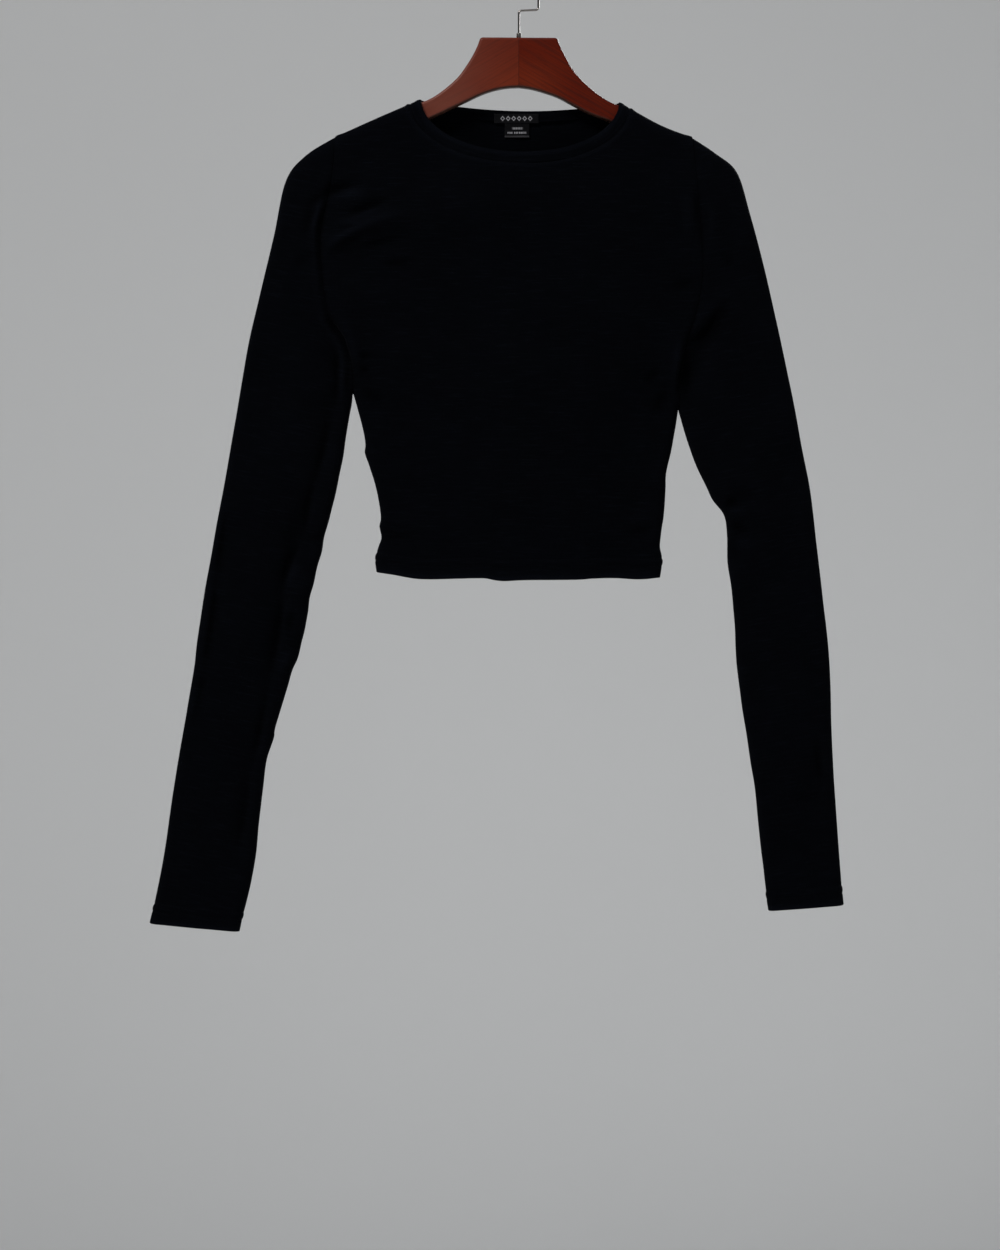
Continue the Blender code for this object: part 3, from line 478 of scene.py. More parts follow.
def tapered(place, share):
    """1 along a path, easing to 0 over the given share of it at both ends."""
    return smooth(place / share) * smooth((1.0 - place) / share)


def bell(distance, width):
    """1 at no distance, falling as exp(-(distance / width) squared)."""
    return np.exp(-(distance / width) ** 2)


def unit(vectors):
    """Vectors brought to length 1."""
    return vectors / np.maximum(np.linalg.norm(vectors, axis=-1, keepdims=True), 1e-9)


def spline(rows, steps=CURVE_POINTS):
    """Catmull-Rom curve through the rows, every column of them, at even steps of the row number."""
    rows = np.asarray(rows, float)
    knots = np.vstack([2 * rows[0] - rows[1], rows, 2 * rows[-1] - rows[-2]])
    place = np.linspace(0.0, len(rows) - 1.0, steps)
    first = np.minimum(place.astype(int), len(rows) - 2)
    t = (place - first)[:, None]
    a, b, c, d = (knots[first + k] for k in range(4))
    return 0.5 * (2 * b + (c - a) * t + (2 * a - 5 * b + 4 * c - d) * t**2
                  + (3 * b - a - 3 * c + d) * t**3)


def run(points, axis=0):
    """Distances along a path, or along the lines of a grid, from 0 at their first point."""
    steps = np.linalg.norm(np.diff(points, axis=axis), axis=-1)
    return np.insert(np.cumsum(steps, axis=axis), 0, 0.0, axis=axis)


def look_up(at, known, table):
    """Rows of a table at the given places, straight between its rows at the known places."""
    return np.stack([np.interp(at, known, column) for column in table.T], axis=1)


def at_lengths(path, lengths):
    """Points of a path at the given distances along it."""
    return look_up(lengths, run(path), path)


def across(path, lengths, shift, toward):
    """Points of a path, moved square to it by shift, to the side where x has the sign toward."""
    reach = 0.5
    tangent = at_lengths(path, lengths + reach) - at_lengths(path, lengths - reach)
    square = unit(np.stack([-tangent[:, 1], tangent[:, 0]], axis=1))
    return at_lengths(path, lengths) + shift * square * np.sign(square[:, :1]) * toward


def stations(length, start_round, end_round, count=0):
    """Distances along a line: close together round its folded ends, count of them between."""
    turn = np.linspace(0.0, math.pi / 2, EDGE_ARC_STEPS + 1)
    start = start_round * (1.0 - np.cos(turn))
    end = length - end_round * (1.0 - np.cos(turn[::-1]))
    share = np.arange(1, count + 1) / (count + 1.0)
    return np.concatenate([start, start_round + (length - start_round - end_round) * share, end])


def coons(left, right, bottom, top, u, v):
    """Patch between four edges: both ruled surfaces added, less the bilinear one."""
    u, v = u[None, :, None], v[:, None, None]
    ruled_across = (1 - u) * left[:, None] + u * right[:, None]
    ruled_up = (1 - v) * bottom[None] + v * top[None]
    low, high = ((1 - u) * edge[0] + u * edge[-1] for edge in (bottom, top))
    return ruled_across + ruled_up - ((1 - v) * low + v * high)


def nearest_on(path, points):
    """Distance from each point to a path, its place along it from 0 to 1, and its side, left 1."""
    a, step = path[:-1], np.diff(path, axis=0)
    reach = np.maximum((step**2).sum(1), 1e-9)
    found = []
    for block in np.array_split(points, len(points) // BLOCK + 1):
        t = np.clip(((block[:, None] - a) * step).sum(2) / reach, 0.0, 1.0)
        offset = block[:, None] - a - t[..., None] * step
        distance = np.sqrt((offset**2).sum(2))
        nearest = distance.argmin(1)
        row = np.arange(len(block))
        gap, way = offset[row, nearest], step[nearest]
        side = np.sign(way[:, 0] * gap[:, 1] - way[:, 1] * gap[:, 0])
        found.append((distance[row, nearest], (nearest + t[row, nearest]) / len(step), side))
    return tuple(np.concatenate(column) for column in zip(*found))


def bent(row):
    """The bent line through the three points that a table row starts with, as 13 points."""
    first, middle, last = np.reshape(row[:6], (3, 2))
    t = np.linspace(0.0, 1.0, 13)[:, None]
    bow = 2 * middle - 0.5 * (first + last)
    return (1 - t) ** 2 * first + 2 * t * (1 - t) * bow + t**2 * last


def lattice_noise(points, spacing, seed):
    """Smooth noise from -1 to 1: seeded values on a square lattice, eased between its corners."""
    values = np.random.default_rng(seed).uniform(-1.0, 1.0, (64, 64))
    place = points / spacing
    cell = np.floor(place).astype(int)
    ease = smooth(place - cell)
    (x, z), (east, up) = cell.T % 64, (cell.T + 1) % 64
    low = values[x, z] * (1 - ease[:, 0]) + values[east, z] * ease[:, 0]
    high = values[x, up] * (1 - ease[:, 0]) + values[east, up] * ease[:, 0]
    return low * (1 - ease[:, 1]) + high * ease[:, 1]


def line_noise(place, seed):
    """Smooth noise from -1 to 1 along a line, with one seeded value at each whole number."""
    points = np.stack([place.ravel(), np.full(place.size, 0.5)], axis=1)
    return lattice_noise(points, 1.0, seed).reshape(place.shape)


def make_edges():
    """The folded edges of the garment by name, each run on past the cuff, the hem or the neck."""
    sides = spline(SIDE_SEAMS, CURVE_POINTS // 2)[::-1]
    shoulders = [spline(rows, SHOULDER_POINTS) for rows in (SHOULDER_LEFT, SHOULDER_RIGHT)]
    (b, a), (d, c) = (path[:2] for path in shoulders)
    t = np.linalg.solve(np.array([b - a, c - d]).T, c - a)
    crossing = a + t[0] * (b - a)
    edges = {}
    for name, rows, shoulder, side in (("left", SLEEVE_LEFT, shoulders[0], sides[:, :2]),
                                       ("right", SLEEVE_RIGHT, shoulders[1], sides[:, 2:])):
        sleeve = spline(rows)
        edges[name + " outer"] = np.vstack([crossing, shoulder, sleeve[1:, :2]])
        edges[name + " underarm"] = sleeve[:, 2:]
        edges[name + " side"] = side
    return {name: np.vstack([path, path[-1] + unit(path[-1] - path[-2]) * PAST_END])
            for name, path in edges.items()}


EDGES = make_edges()


# ---------------- depth and relief of the cloth

def middle_y(z):
    """Y of the plane where the two layers meet: the lower garment swings forward."""
    return -SWING * smooth((SWING_TOP - z) / SWING_LENGTH)


def fold_relief(points, layer):
    """Height that the largest folds add: a bell across each path, tapered to its ends."""
    relief = np.zeros(len(points))
    for row in FOLDS[layer]:
        distance, place, _ = nearest_on(bent(row), points)
        relief += row[7] * tapered(place, FOLD_TAPER) * bell(distance, row[6])
    return relief


def depth(points, layer, edges):
    """Distance of a layer from the middle plane: a quarter circle, then fullness and folds too."""
    gaps = [edges["left outer"], edges["right outer"]]
    for name in ("left", "right"):
        gaps.append(np.minimum(edges[name + " underarm"], edges[name + " side"]))
    gaps = np.stack(gaps)
    near = gaps.min(0)
    soft = (np.maximum(gaps, 0.01) ** -4.0).sum(0) ** -0.25
    z = points[:, 1]
    top, low = SHOULDER_ZONE
    edge_round = EDGE_ROUND + (SHOULDER_ROUND - EDGE_ROUND) * smooth((z - low) / (top - low))
    t = np.minimum(near / edge_round, 1.0)
    table = np.array(FULLNESS)[::-1]
    full = np.interp(z, table[:, 0], table[:, {"front": 1, "back": 2}[layer]])
    extra = full * smooth(soft / FULL_REACH) + fold_relief(points, layer) * smooth(near / EDGE_FADE)
    return edge_round * np.sqrt(2 * t - t * t) + extra


def surface(grid, layer):
    """Outer surface of a layer without its creases, and each point's distance to each edge."""
    points = grid.reshape(-1, 2)
    edges = {name: nearest_on(path, points)[0] for name, path in EDGES.items()}
    y = middle_y(points[:, 1]) + SIDE[layer] * depth(points, layer, edges)
    place = np.stack([points[:, 0], y, points[:, 1]], axis=1)
    return place.reshape(*grid.shape[:2], 3), edges


def crease_relief(points, piece, widths):
    """Height of the finer creases of one piece and layer, and of a range of widths.

    Across its path a crease is a bell and a step, and along it both come and go.
    """
    relief = np.zeros(len(points))
    creases = [(name, row) for name, rows in CREASES.items() for row in rows]
    for seed, (name, row) in enumerate(creases):
        width, height, step = (*row[6:], 0.0)[:3]
        if name != piece or not widths[0] <= width < widths[1]:
            continue
        path = bent(row)
        reach = 4 * width
        close = np.all((points > path.min(0) - reach) & (points < path.max(0) + reach), axis=1)
        distance, place, side = nearest_on(path, points[close])
        noise = line_noise(place * run(path)[-1] / CREASE_SPACING, seed)
        uneven = 1.0 - CREASE_UNEVEN * (0.5 + 0.5 * noise)
        across_it = height * bell(distance, width)
        across_it += step * side * np.tanh(distance / (0.5 * width)) * bell(distance, 2.2 * width)
        relief[close] += across_it * tapered(place, CREASE_TAPER) * uneven
    return relief


def pucker_relief(points, edges, names):
    """Height of the puckers beside the sewn edges: noise along an edge, dying away from it."""
    relief = np.zeros(len(points))
    z = points[:, 1]
    for seed, (name, low, high, spacing, height, reach) in enumerate(PUCKERS):
        if name in names:
            window = tapered((z - low) / (high - low), PUCKER_TAPER)
            noise = line_noise(z / spacing, PUCKER_SEED + seed)
            relief += height * window * noise * bell(edges[name], reach)
    return relief


def cloth_unevenness(points, seed):
    """Slight waves of hanging jersey, longer down the cloth than across it."""
    return sum(height * lattice_noise(points * (1.0, ratio), spacing, seed + number)
               for number, (spacing, height, ratio) in enumerate(WAVES))


def armhole_relief(points, armhole, on_sleeve):
    """The dip into an armhole seam, and what the seam allowance lifts beside it.

    It lifts the sleeve all along the dip, and the body where the seam crosses the shoulder.
    """
    path, width, depths = ARMHOLES[armhole]
    distance, place, _ = nearest_on(spline(path, CURVE_POINTS // 2), points)
    deep = np.interp(place * (len(path) - 1), *np.array(depths).T)
    deep *= 1.0 + SEAM_UNEVEN * line_noise(place * SEAM_SPACINGS, SEAM_SEED)
    relief = -deep * bell(distance, width)
    if on_sleeve == (armhole == "right"):
        relief -= SEAM_TUCK * bell(distance, SEAM_TUCK_WIDTH)
    if on_sleeve:
        return relief + SEAM_SWELL * deep * bell(distance - SEAM_SWELL_AT, SEAM_SWELL_WIDTH)
    return relief + SEAM_STEP * bell(place, SEAM_STEP_LENGTH) * bell(distance, SEAM_STEP_WIDTH)


def hem_relief(height, seed, place):
    """Across a hem, by height above its edge: two sunk rows of stitches, a puff between them."""
    first, second = STITCH_ROWS
    relief = -STITCH_SINK * sum(bell(height - level, STITCH_WIDTH) for level in STITCH_ROWS)
    relief += HEM_PUFF * bell(height - (first + second) / 2, (second - first) / 3)
    roll = HEM_ROLL * bell(height, HEM_ROLL_WIDTH) * line_noise(place / HEM_ROLL_SPACING, seed)
    return relief + roll + HEM_STEP * smooth((second + 1.0 - height) / 2.0)


def hem_thickness(height):
    """Thickness of the cloth of each row, by its height above the hem: two layers, then one."""
    turned = smooth((STITCH_ROWS[1] + 1.5 - height) / 1.5)
    return (CLOTH + (HEM_CLOTH - CLOTH) * turned)[:, None]


def cloth_relief(grid, edges, piece, layer, armholes, names):
    """The finer relief of a layer, but for its open ends, and its painted shade and rubbing.

    Narrow creases and seams are painted paler where they rise, to 1, partly as rubbed cloth and
    partly as painted highlight, and painted darker where they sink, to -1, as painted shade. Beside
    an armhole a crease of one piece alone dies away.
    """
    points = grid.reshape(-1, 2)
    fade = smooth(np.minimum.reduce(list(edges.values())) / CREASE_EDGE)
    alone = fade.copy()
    for armhole in armholes:
        path = spline(ARMHOLES[armhole][0], CURVE_POINTS // 2)
        off_seam = smooth(nearest_on(path, points)[0] / CREASE_SEAM)
        alone *= CREASE_LEFT + (1.0 - CREASE_LEFT) * off_seam
    own = piece + " " + layer
    narrow = alone * crease_relief(points, own, (0.0, WIDE)) + pucker_relief(points, edges, names)
    narrow += fade * crease_relief(points, "all " + layer, (0.0, WIDE))
    for armhole in armholes:
        narrow += armhole_relief(points, armhole, piece != "torso")
    waves = cloth_unevenness(points, WAVE_SEED[layer])
    waves = alone * (waves + crease_relief(points, own, (WIDE, math.inf)))
    # painted shade in sunk creases and seams, and paler risen ones, partly rubbed and partly
    # painted highlight
    rub_and_shade = np.tanh(narrow / RUB_AND_SHADE_HEIGHT)
    return [part.reshape(grid.shape[:2]) for part in (narrow + waves, rub_and_shade)]


# ---------------- meshes

def grid_normals(place, ring):
    """Normals of a grid from the differences along its rows and its columns, unturned."""
    along_row = np.gradient(place, axis=1)
    if ring:
        along_row = np.roll(place, -1, axis=1) - np.roll(place, 1, axis=1)
    return unit(np.cross(along_row, np.gradient(place, axis=0)))


def relieved(place, relief, outward, ring, folds):
    """A grid moved out by its relief, and its normals, which lie in the plane along its folds."""
    for height in (relief, None):
        normal = outward * grid_normals(place, ring)
        for rows, columns in folds:
            normal[rows, columns, 1] = 0.0
            normal[rows, columns] = unit(normal[rows, columns])
        if height is not None:
            place = place + height[..., None] * normal
    return place, normal


def joined(grids):
    """The grids of the front and the back as one ring, the back's columns in turned order."""
    return np.concatenate([grids[0], grids[1][:, -2:0:-1]], axis=1)


def relieved_ring(place, relief, half):
    """A ring moved out by its relief, folded at its first column and at column half."""
    outward = -np.sign(grid_normals(place, True)[:, :half, 1].mean())
    return relieved(place, relief, outward, True, ((slice(None), 0), (slice(None), half)))


def set_all(thing, **settings):
    """The thing given, with its settings."""
    for key, value in settings.items():
        setattr(thing, key, value)
    return thing


def added(name, data):
    """A new object in the scene."""
    thing = bpy.data.objects.new(name, data)
    bpy.context.scene.collection.objects.link(thing)
    return thing


def new_object(name, data, finish, node):
    """A piece from its mesh or curve, riding on the root, in place of a node if it has one."""
    piece = added(name, data)
    data.materials.append(finish)
    if isinstance(data, bpy.types.Mesh):
        data.shade_smooth()
    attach(piece, "root")
    if node:
        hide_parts(node)
    return piece


def closed_mesh(name, points, faces, uv=None, rub_and_shade=None):
    """Mesh with its faces turned outward, and if given a UV map in metres and a value of rubbing
    and painted shade.
    """
    mesh = bpy.data.meshes.new(name)
    mesh.from_pydata((points * MM).tolist(), [], faces.tolist())
    if uv is not None:
        mesh.uv_layers.new(name="weave").data.foreach_set("uv", uv.astype(np.float32).ravel())
        shade = mesh.attributes.new("rub_and_shade", "FLOAT", "POINT")
        shade.data.foreach_set("value", rub_and_shade.astype(np.float32))
    shape = bmesh.new()
    shape.from_mesh(mesh)
    bmesh.ops.recalc_face_normals(shape, faces=shape.faces)
    shape.to_mesh(mesh)
    shape.free()
    return mesh


def corners(first, second):
    """What stands at the corners of the cells between two neighbouring lines, in order round."""
    around = np.stack([first[:, :-1], first[:, 1:], second[:, 1:], second[:, :-1]], axis=2)
    return around.reshape(-1, 4, *first.shape[2:])


def shell(name, place, normal, thickness, ring=False, ends=(1.0, 1.0), rub_and_shade=None, flat=None,
          wrap=0):
    """Thin closed cloth: the outer grid, the same grid moved in by its thickness, and round rims.

    A ring is a grid whose last column is followed by its first. The rims of the first and the
    last row bulge by their share in ends of half the thickness. UVs are each point's place in
    the cloth laid flat, or else lengths along rows and columns, from 0 again at column wrap.
    """
    rows, columns = place.shape[:2]

    def closed(grid):
        """The grid, and in a ring its first column again at the end."""
        return np.concatenate([grid, grid[:, :1]], axis=1) if ring else grid

    inner = place - np.broadcast_to(thickness, (rows, 1))[..., None] * normal
    number = closed(np.arange(rows * columns).reshape(rows, columns))
    under = number + rows * columns
    if flat is None:
        u, v = run(closed(place), 1), closed(run(place))
        uv = np.stack([u if ring else u - u[:, -1:] / 2, v], axis=2) * MM
    else:
        uv = closed(flat) * MM
    faces = [corners(number[:-1], number[1:]), corners(under[1:], under[:-1])]
    maps = [corners(uv[:-1], uv[1:]), corners(uv[1:], uv[:-1])]
    if ring and flat is None:
        again = (np.arange(columns) >= wrap)[:, None] * uv[:-1, -1, :1, None]
        for part in maps:
            part.reshape(rows - 1, columns, 4, 2)[..., 0] -= again
    # the value of rubbing and painted shade, on the outer and inner points and the rims
    rub_and_shade = np.zeros((rows, columns)) if rub_and_shade is None else rub_and_shade
    points, rubbed_or_shaded = [place.reshape(-1, 3), inner.reshape(-1, 3)], [rub_and_shade.ravel(), rub_and_shade.ravel()]

    def rim(at, bulge, turned):
        """Round edge along one side of the grid, from the outer line to the inner one."""
        middle, arm = (place[at] + inner[at]) / 2, (place[at] - inner[at]) / 2
        reach = np.linalg.norm(arm, axis=1, keepdims=True) * bulge
        angle = math.pi * np.array([0.25, 0.5, 0.75])[:, None, None]
        new = sum(map(len, points)) + np.arange(3 * len(middle)).reshape(3, -1)
        points.append((middle + np.cos(angle) * arm + np.sin(angle) * reach).reshape(-1, 3))
        rubbed_or_shaded.append(np.tile(rub_and_shade[at], 3))
        lines = np.vstack([number[at], closed(new), under[at]])
        faces.append(corners(lines[1:], lines[:-1]) if turned else corners(lines[:-1], lines[1:]))
        same = np.broadcast_to(uv[at], (4, *uv[at].shape))
        maps.append(corners(same, same))

    rim(0, ends[0] * unit(place[0] - place[1]), True)
    rim(-1, ends[1] * unit(place[-1] - place[-2]), False)
    if not ring:
        rim((slice(None), 0), SIDE_RIM * unit(place[:, 0] - place[:, 1]), False)
        rim((slice(None), -1), SIDE_RIM * unit(place[:, -1] - place[:, -2]), True)
    return closed_mesh(name, *(np.concatenate(parts) for parts in (points, faces, maps, rubbed_or_shaded)))


def at_height(grid, height, level):
    """The line at one height above an edge, read off a grid whose columns start at that edge."""
    row = (height < level).sum(0)
    column = np.arange(grid.shape[1])
    low, high = height[row - 1, column], height[row, column]
    t = ((level - low) / (high - low))[:, None]
    return grid[row - 1, column] * (1 - t) + grid[row, column] * t


def stitches(name, grids, height, level, finish, closed=False, span=slice(None)):
    """A row of short threads at one height above an edge, on cloth given by places and normals.

    Every thread is a tube of five rings of six points, bedded in at its ends.
    """
    line, normal = (at_height(grid, height, level)[span] for grid in grids)
    if closed:
        line, normal = np.vstack([line, line[:1]]), np.vstack([normal, normal[:1]])
    along = run(line)
    count = int(along[-1] / STITCH_LENGTH)
    middle = (np.arange(count) + 0.5) * along[-1] / count
    reach = 0.5 * STITCH_SHARE * STITCH_LENGTH
    at = (middle[:, None] + reach * np.array([-1.0, -0.7, 0.0, 0.7, 1.0])).ravel()
    radius = THREAD_RADIUS * np.tile([0.35, 0.9, 1.0, 0.9, 0.35], count)[:, None]
    lift = THREAD_RADIUS * np.tile([-0.9, 0.1, 0.5, 0.1, -0.9], count)[:, None]
    up = unit(look_up(at, along, normal))
    way = unit(at_lengths(line, at + 0.2) - at_lengths(line, at - 0.2))
    centre = at_lengths(line, at) + lift * up
    turn = (np.arange(6) * math.pi / 3)[:, None]
    rings = centre[:, None] + radius[..., None] * (
        np.cos(turn) * up[:, None] + np.sin(turn) * np.cross(way, up)[:, None])
    number = np.arange(count * 30).reshape(count, 5, 6)
    ahead = np.roll(number, -1, axis=2)
    sides = np.stack([number[:, :-1], ahead[:, :-1], ahead[:, 1:], number[:, 1:]], axis=3)
    faces = sides.reshape(-1, 4).tolist() + number[:, 0, ::-1].tolist() + number[:, -1].tolist()
    mesh = bpy.data.meshes.new(name)
    mesh.from_pydata((rings.reshape(-1, 3) * MM).tolist(), [], faces)
    return new_object(name, mesh, finish, None)


# ---------------- the pieces of the garment

def neck_lines(layer, angles):
    """Neck edge, the seam under the band at the same angles, and the way out square to the seam.

    Both drop by a power of the sine of the angle. At its ends the way out runs down the
    shoulders.
    """
    drop, power = NECKLINE[layer]
    ends = [at_lengths(spline(rows, SHOULDER_POINTS), [BAND_WIDTH])[0]
            for rows in (SHOULDER_LEFT, SHOULDER_RIGHT)]
    lowest = (NECK_LEFT[1] + NECK_RIGHT[1]) / 2 - drop - BAND_WIDTH
    lines = []
    for start, end, fall in ((np.array(NECK_LEFT), np.array(NECK_RIGHT), drop),
                             (*ends, (ends[0][1] + ends[1][1]) / 2 - lowest)):
        line = start + (0.5 - 0.5 * np.cos(angles))[:, None] * (end - start)
        line[:, 1] -= fall * np.sin(angles) ** power
        lines.append(line)
    edge, seam = lines
    tangent = np.gradient(seam, axis=0)
    out = unit(np.stack([tangent[:, 1], -tangent[:, 0]], axis=1))
    for end in (0, -1):
        down = (seam[end] - edge[end]) / BAND_WIDTH
        out[end] = down / (down @ out[end])
    return edge, seam, out


def neck_angles(layer, count):
    """Angles that divide the neck seam into equal parts, as measured over the surface."""
    fine = np.linspace(0.0, math.pi, 1200)
    along = run(surface(neck_lines(layer, fine)[1][None], layer)[0][0])
    return np.interp(np.linspace(0.0, along[-1], count), along, fine)


NECK_ANGLES = {layer: neck_angles(layer, count) for layer, count in NECK_STEPS.items()}


def shoulder_line(rows, count):
    """Points of a shoulder seam from the armhole to the band, close together at its outer end."""
    path = spline(rows, SHOULDER_POINTS)[::-1]
    start = stations(2 * EDGE_ROUND, EDGE_ROUND, EDGE_ROUND)[:EDGE_ARC_STEPS + 1]
    rest = np.linspace(EDGE_ROUND, run(path)[-1] - BAND_WIDTH, count + 2)[1:-1]
    return at_lengths(path, np.concatenate([start, rest]))


def panel_grid(layer):
    """(x, z) points of a panel: rows from its hem up the side seams and then the armholes.

    With them come the rows' distances up a side seam, the parts of the grid along the side seams
    and the shoulders, and the columns that end at the neck.
    """
    step = PANEL_STEP[layer]
    sides = spline(SIDE_SEAMS, CURVE_POINTS // 2)
    edges = []
    for side, armhole, toward in (
            (sides[:, :2], ARMHOLE_LEFT, 1), (sides[:, 2:], ARMHOLE_RIGHT, -1)):
        above = np.linspace(HEM_LEVELS[-1], run(side)[-1], round(SIDE_LENGTH / step))[1:-1]
        lengths = np.concatenate([HEM_LEVELS, above])
        seam = spline(armhole)
        along = stations(run(seam)[-1], SHOULDER_ROUND, EDGE_ROUND, round(ARMHOLE_LENGTH / step))
        cut = across(seam, along, SEAM_GAP / 2, toward)[::-1]
        edges.append(np.vstack([at_lengths(side, lengths), cut]))
    left, right = edges
    seam, out = neck_lines(layer, NECK_ANGLES[layer])[1:]
    left_shoulder = shoulder_line(SHOULDER_LEFT, SHOULDER_STEPS["left"])
    right_shoulder = shoulder_line(SHOULDER_RIGHT, SHOULDER_STEPS["right"])
    top = np.vstack([left_shoulder, seam + out * SEAM_GAP / 2, right_shoulder[::-1]])
    top[0], top[-1] = left[-1], right[-1]
    hem = spline(HEM)
    width = right[0, 0] - left[0, 0]
    low = stations(width, EDGE_ROUND, EDGE_ROUND, len(top) - 2 * EDGE_ARC_STEPS - 2) / width
    x = left[0, 0] + low * width
    bottom = np.stack([x, np.interp(x, hem[:, 0], hem[:, 1])], axis=1)
    bottom[0], bottom[-1] = left[0], right[0]
    high = (top[:, 0] - top[0, 0]) / (top[-1, 0] - top[0, 0])
    v = (left[:, 1] - left[0, 1]) / (left[-1, 1] - left[0, 1])
    up_side = slice(0, len(left) - len(along) + 1)
    neck = slice(len(left_shoulder), -len(right_shoulder))
    folds = ((up_side, 0), (up_side, -1),
             (-1, slice(0, neck.start + 1)), (-1, slice(neck.stop - 1, None)))
    return coons(left, right, bottom, top, (high + low) / 2, v), lengths, folds, neck


def make_panel(layer, finish, thread):
    """Front or back, with its hem turned up and stitched by two rows."""
    grid, lengths, folds, neck_columns = panel_grid(layer)
    place, edges = surface(grid, layer)
    for rows, columns in folds:
        place[rows, columns, 1] = middle_y(place[rows, columns, 2]) + SIDE[layer] * SEAM_GAP / 2
    height = run(grid)
    neck = nearest_on(neck_lines(layer, NECK_ANGLES[layer])[1], grid.reshape(-1, 2))[0]
    neck = neck.reshape(height.shape)
    relief, rub_and_shade = cloth_relief(grid, edges, "torso", layer, ARMHOLES, ("left side", "right side"))
    relief += NECK_PUFF * bell(neck - NECK_PUFF_AT, NECK_PUFF_WIDTH)
    relief -= NECK_DIP * bell(neck, NECK_DIP_WIDTH)
    relief -= NECK_STITCH_SINK * bell(neck - NECK_STITCH_AT, NECK_STITCH_WIDTH)
    relief += hem_relief(height, HEM_SEED, grid[..., 0])
    outward = SIDE[layer] * np.sign(grid_normals(place, False)[..., 1].mean())
    cloth = relieved(place, relief, outward, False, folds)
    # the hem's folded edge rubbed paler, and the puff under the neckband paler as a painted
    # highlight
    rub_and_shade += bell(height, 3.0) + 0.5 * bell(neck - NECK_PUFF_AT, 2.0)
    above_hem = np.append(lengths, np.full(len(place) - len(lengths), math.inf))
    mesh = shell(layer + "_panel", *cloth, hem_thickness(above_hem), ends=(1.0, 0.15), rub_and_shade=rub_and_shade,
                 flat=grid)
    panel = new_object(layer + "_panel", mesh, finish, layer)
    rows = [stitches(f"hem_stitches_{layer}_{number}", cloth, height, level, thread)
            for number, level in enumerate(STITCH_ROWS, 1)]
    downward = [part[::-1] for part in cloth]
    rows.append(stitches("neck_stitches_" + layer, downward, neck[::-1], NECK_STITCH_AT, thread,
                         span=neck_columns))
    return panel, rows


def sleeve_grid(sections, armhole, toward):
    """(x, z) points of one layer of a sleeve: rows across it, from the armhole seam to the cuff.

    A row is straight between the sleeve's edges, but bowed near the armhole, as its seam is.
    """
    fine = spline(sections, 1401)
    along = run((fine[:, :2] + fine[:, 2:]) / 2)
    start, cuff = np.linspace(0.0, 9.0, 8), along[-1] - HEM_LEVELS[::-1]
    between = np.linspace(start[-1], cuff[0], round(along[-1] / SLEEVE_STEP))[1:-1]
    lengths = np.concatenate([start, between, cuff])
    share = np.interp(lengths, along, np.linspace(0.0, 1.0, len(fine)))
    outer, inner = np.split(look_up(lengths, along, fine), 2, axis=1)
    seam = spline(ARMHOLES[armhole][0])
    seam_lengths = stations(run(seam)[-1], SHOULDER_ROUND, EDGE_ROUND, SLEEVE_COLUMNS)
    seam_share = seam_lengths / seam_lengths[-1]
    straight = outer[0] + seam_share[:, None] * (inner[0] - outer[0])
    bow = across(seam, seam_lengths, SEAM_GAP / 2, toward) - straight
    width = np.linalg.norm(inner - outer, axis=1)
    fade = ((1.0 - share) ** 4)[:, None]
    cut = np.array([stations(w, EDGE_ROUND, EDGE_ROUND, SLEEVE_COLUMNS) / w for w in width])
    cut = fade * seam_share + (1.0 - fade) * cut
    grid = outer[:, None] + cut[..., None] * (inner - outer)[:, None] + fade[..., None] * bow
    grid[1:, 0], grid[1:, -1] = outer[1:], inner[1:]
    return grid


def make_sleeve(name, sections, toward, finish, thread):
    """Sleeve: both layers joined along their folded edges into one tube, its cuff turned up."""
    grid = sleeve_grid(sections, name, toward)
    height = run(grid[::-1])[::-1]
    down = unit(grid[-1].mean(0) - grid[0].mean(0))
    flat = np.stack([grid @ (down[1], -down[0]), grid @ down], axis=2)
    layers = []
    for layer in SIDE:
        place, edges = surface(grid, layer)
        place[:, (0, -1), 1] = middle_y(place[:, (0, -1), 2])
        names = (name + " underarm", name + " outer")
        relief, rub_and_shade = cloth_relief(grid, edges, name, layer, (name,), names)
        relief += hem_relief(height, CUFF_SEED, grid[..., 0])
        layers.append((place, relief, height, rub_and_shade, flat))
    place, relief, height, rub_and_shade, flat = map(joined, zip(*layers))
    half = grid.shape[1] - 1
    place, normal = relieved_ring(place, relief, half)
    # the value of rubbing and painted shade, with the cuff's folded edge rubbed paler
    mesh = shell(name + "_sleeve", place, normal, hem_thickness(height[:, half // 2]), ring=True,
                 ends=(0.15, 1.0), rub_and_shade=rub_and_shade + bell(height, 3.0), flat=flat)
    sleeve = new_object(name + "_sleeve", mesh, finish, "sleeve_" + name)
    cloth = place[::-1], normal[::-1]
    rows = [stitches(f"cuff_stitches_{name}_{number}", cloth, height[::-1], level, thread, True)
            for number, level in enumerate(STITCH_ROWS, 1)]
    return sleeve, rows


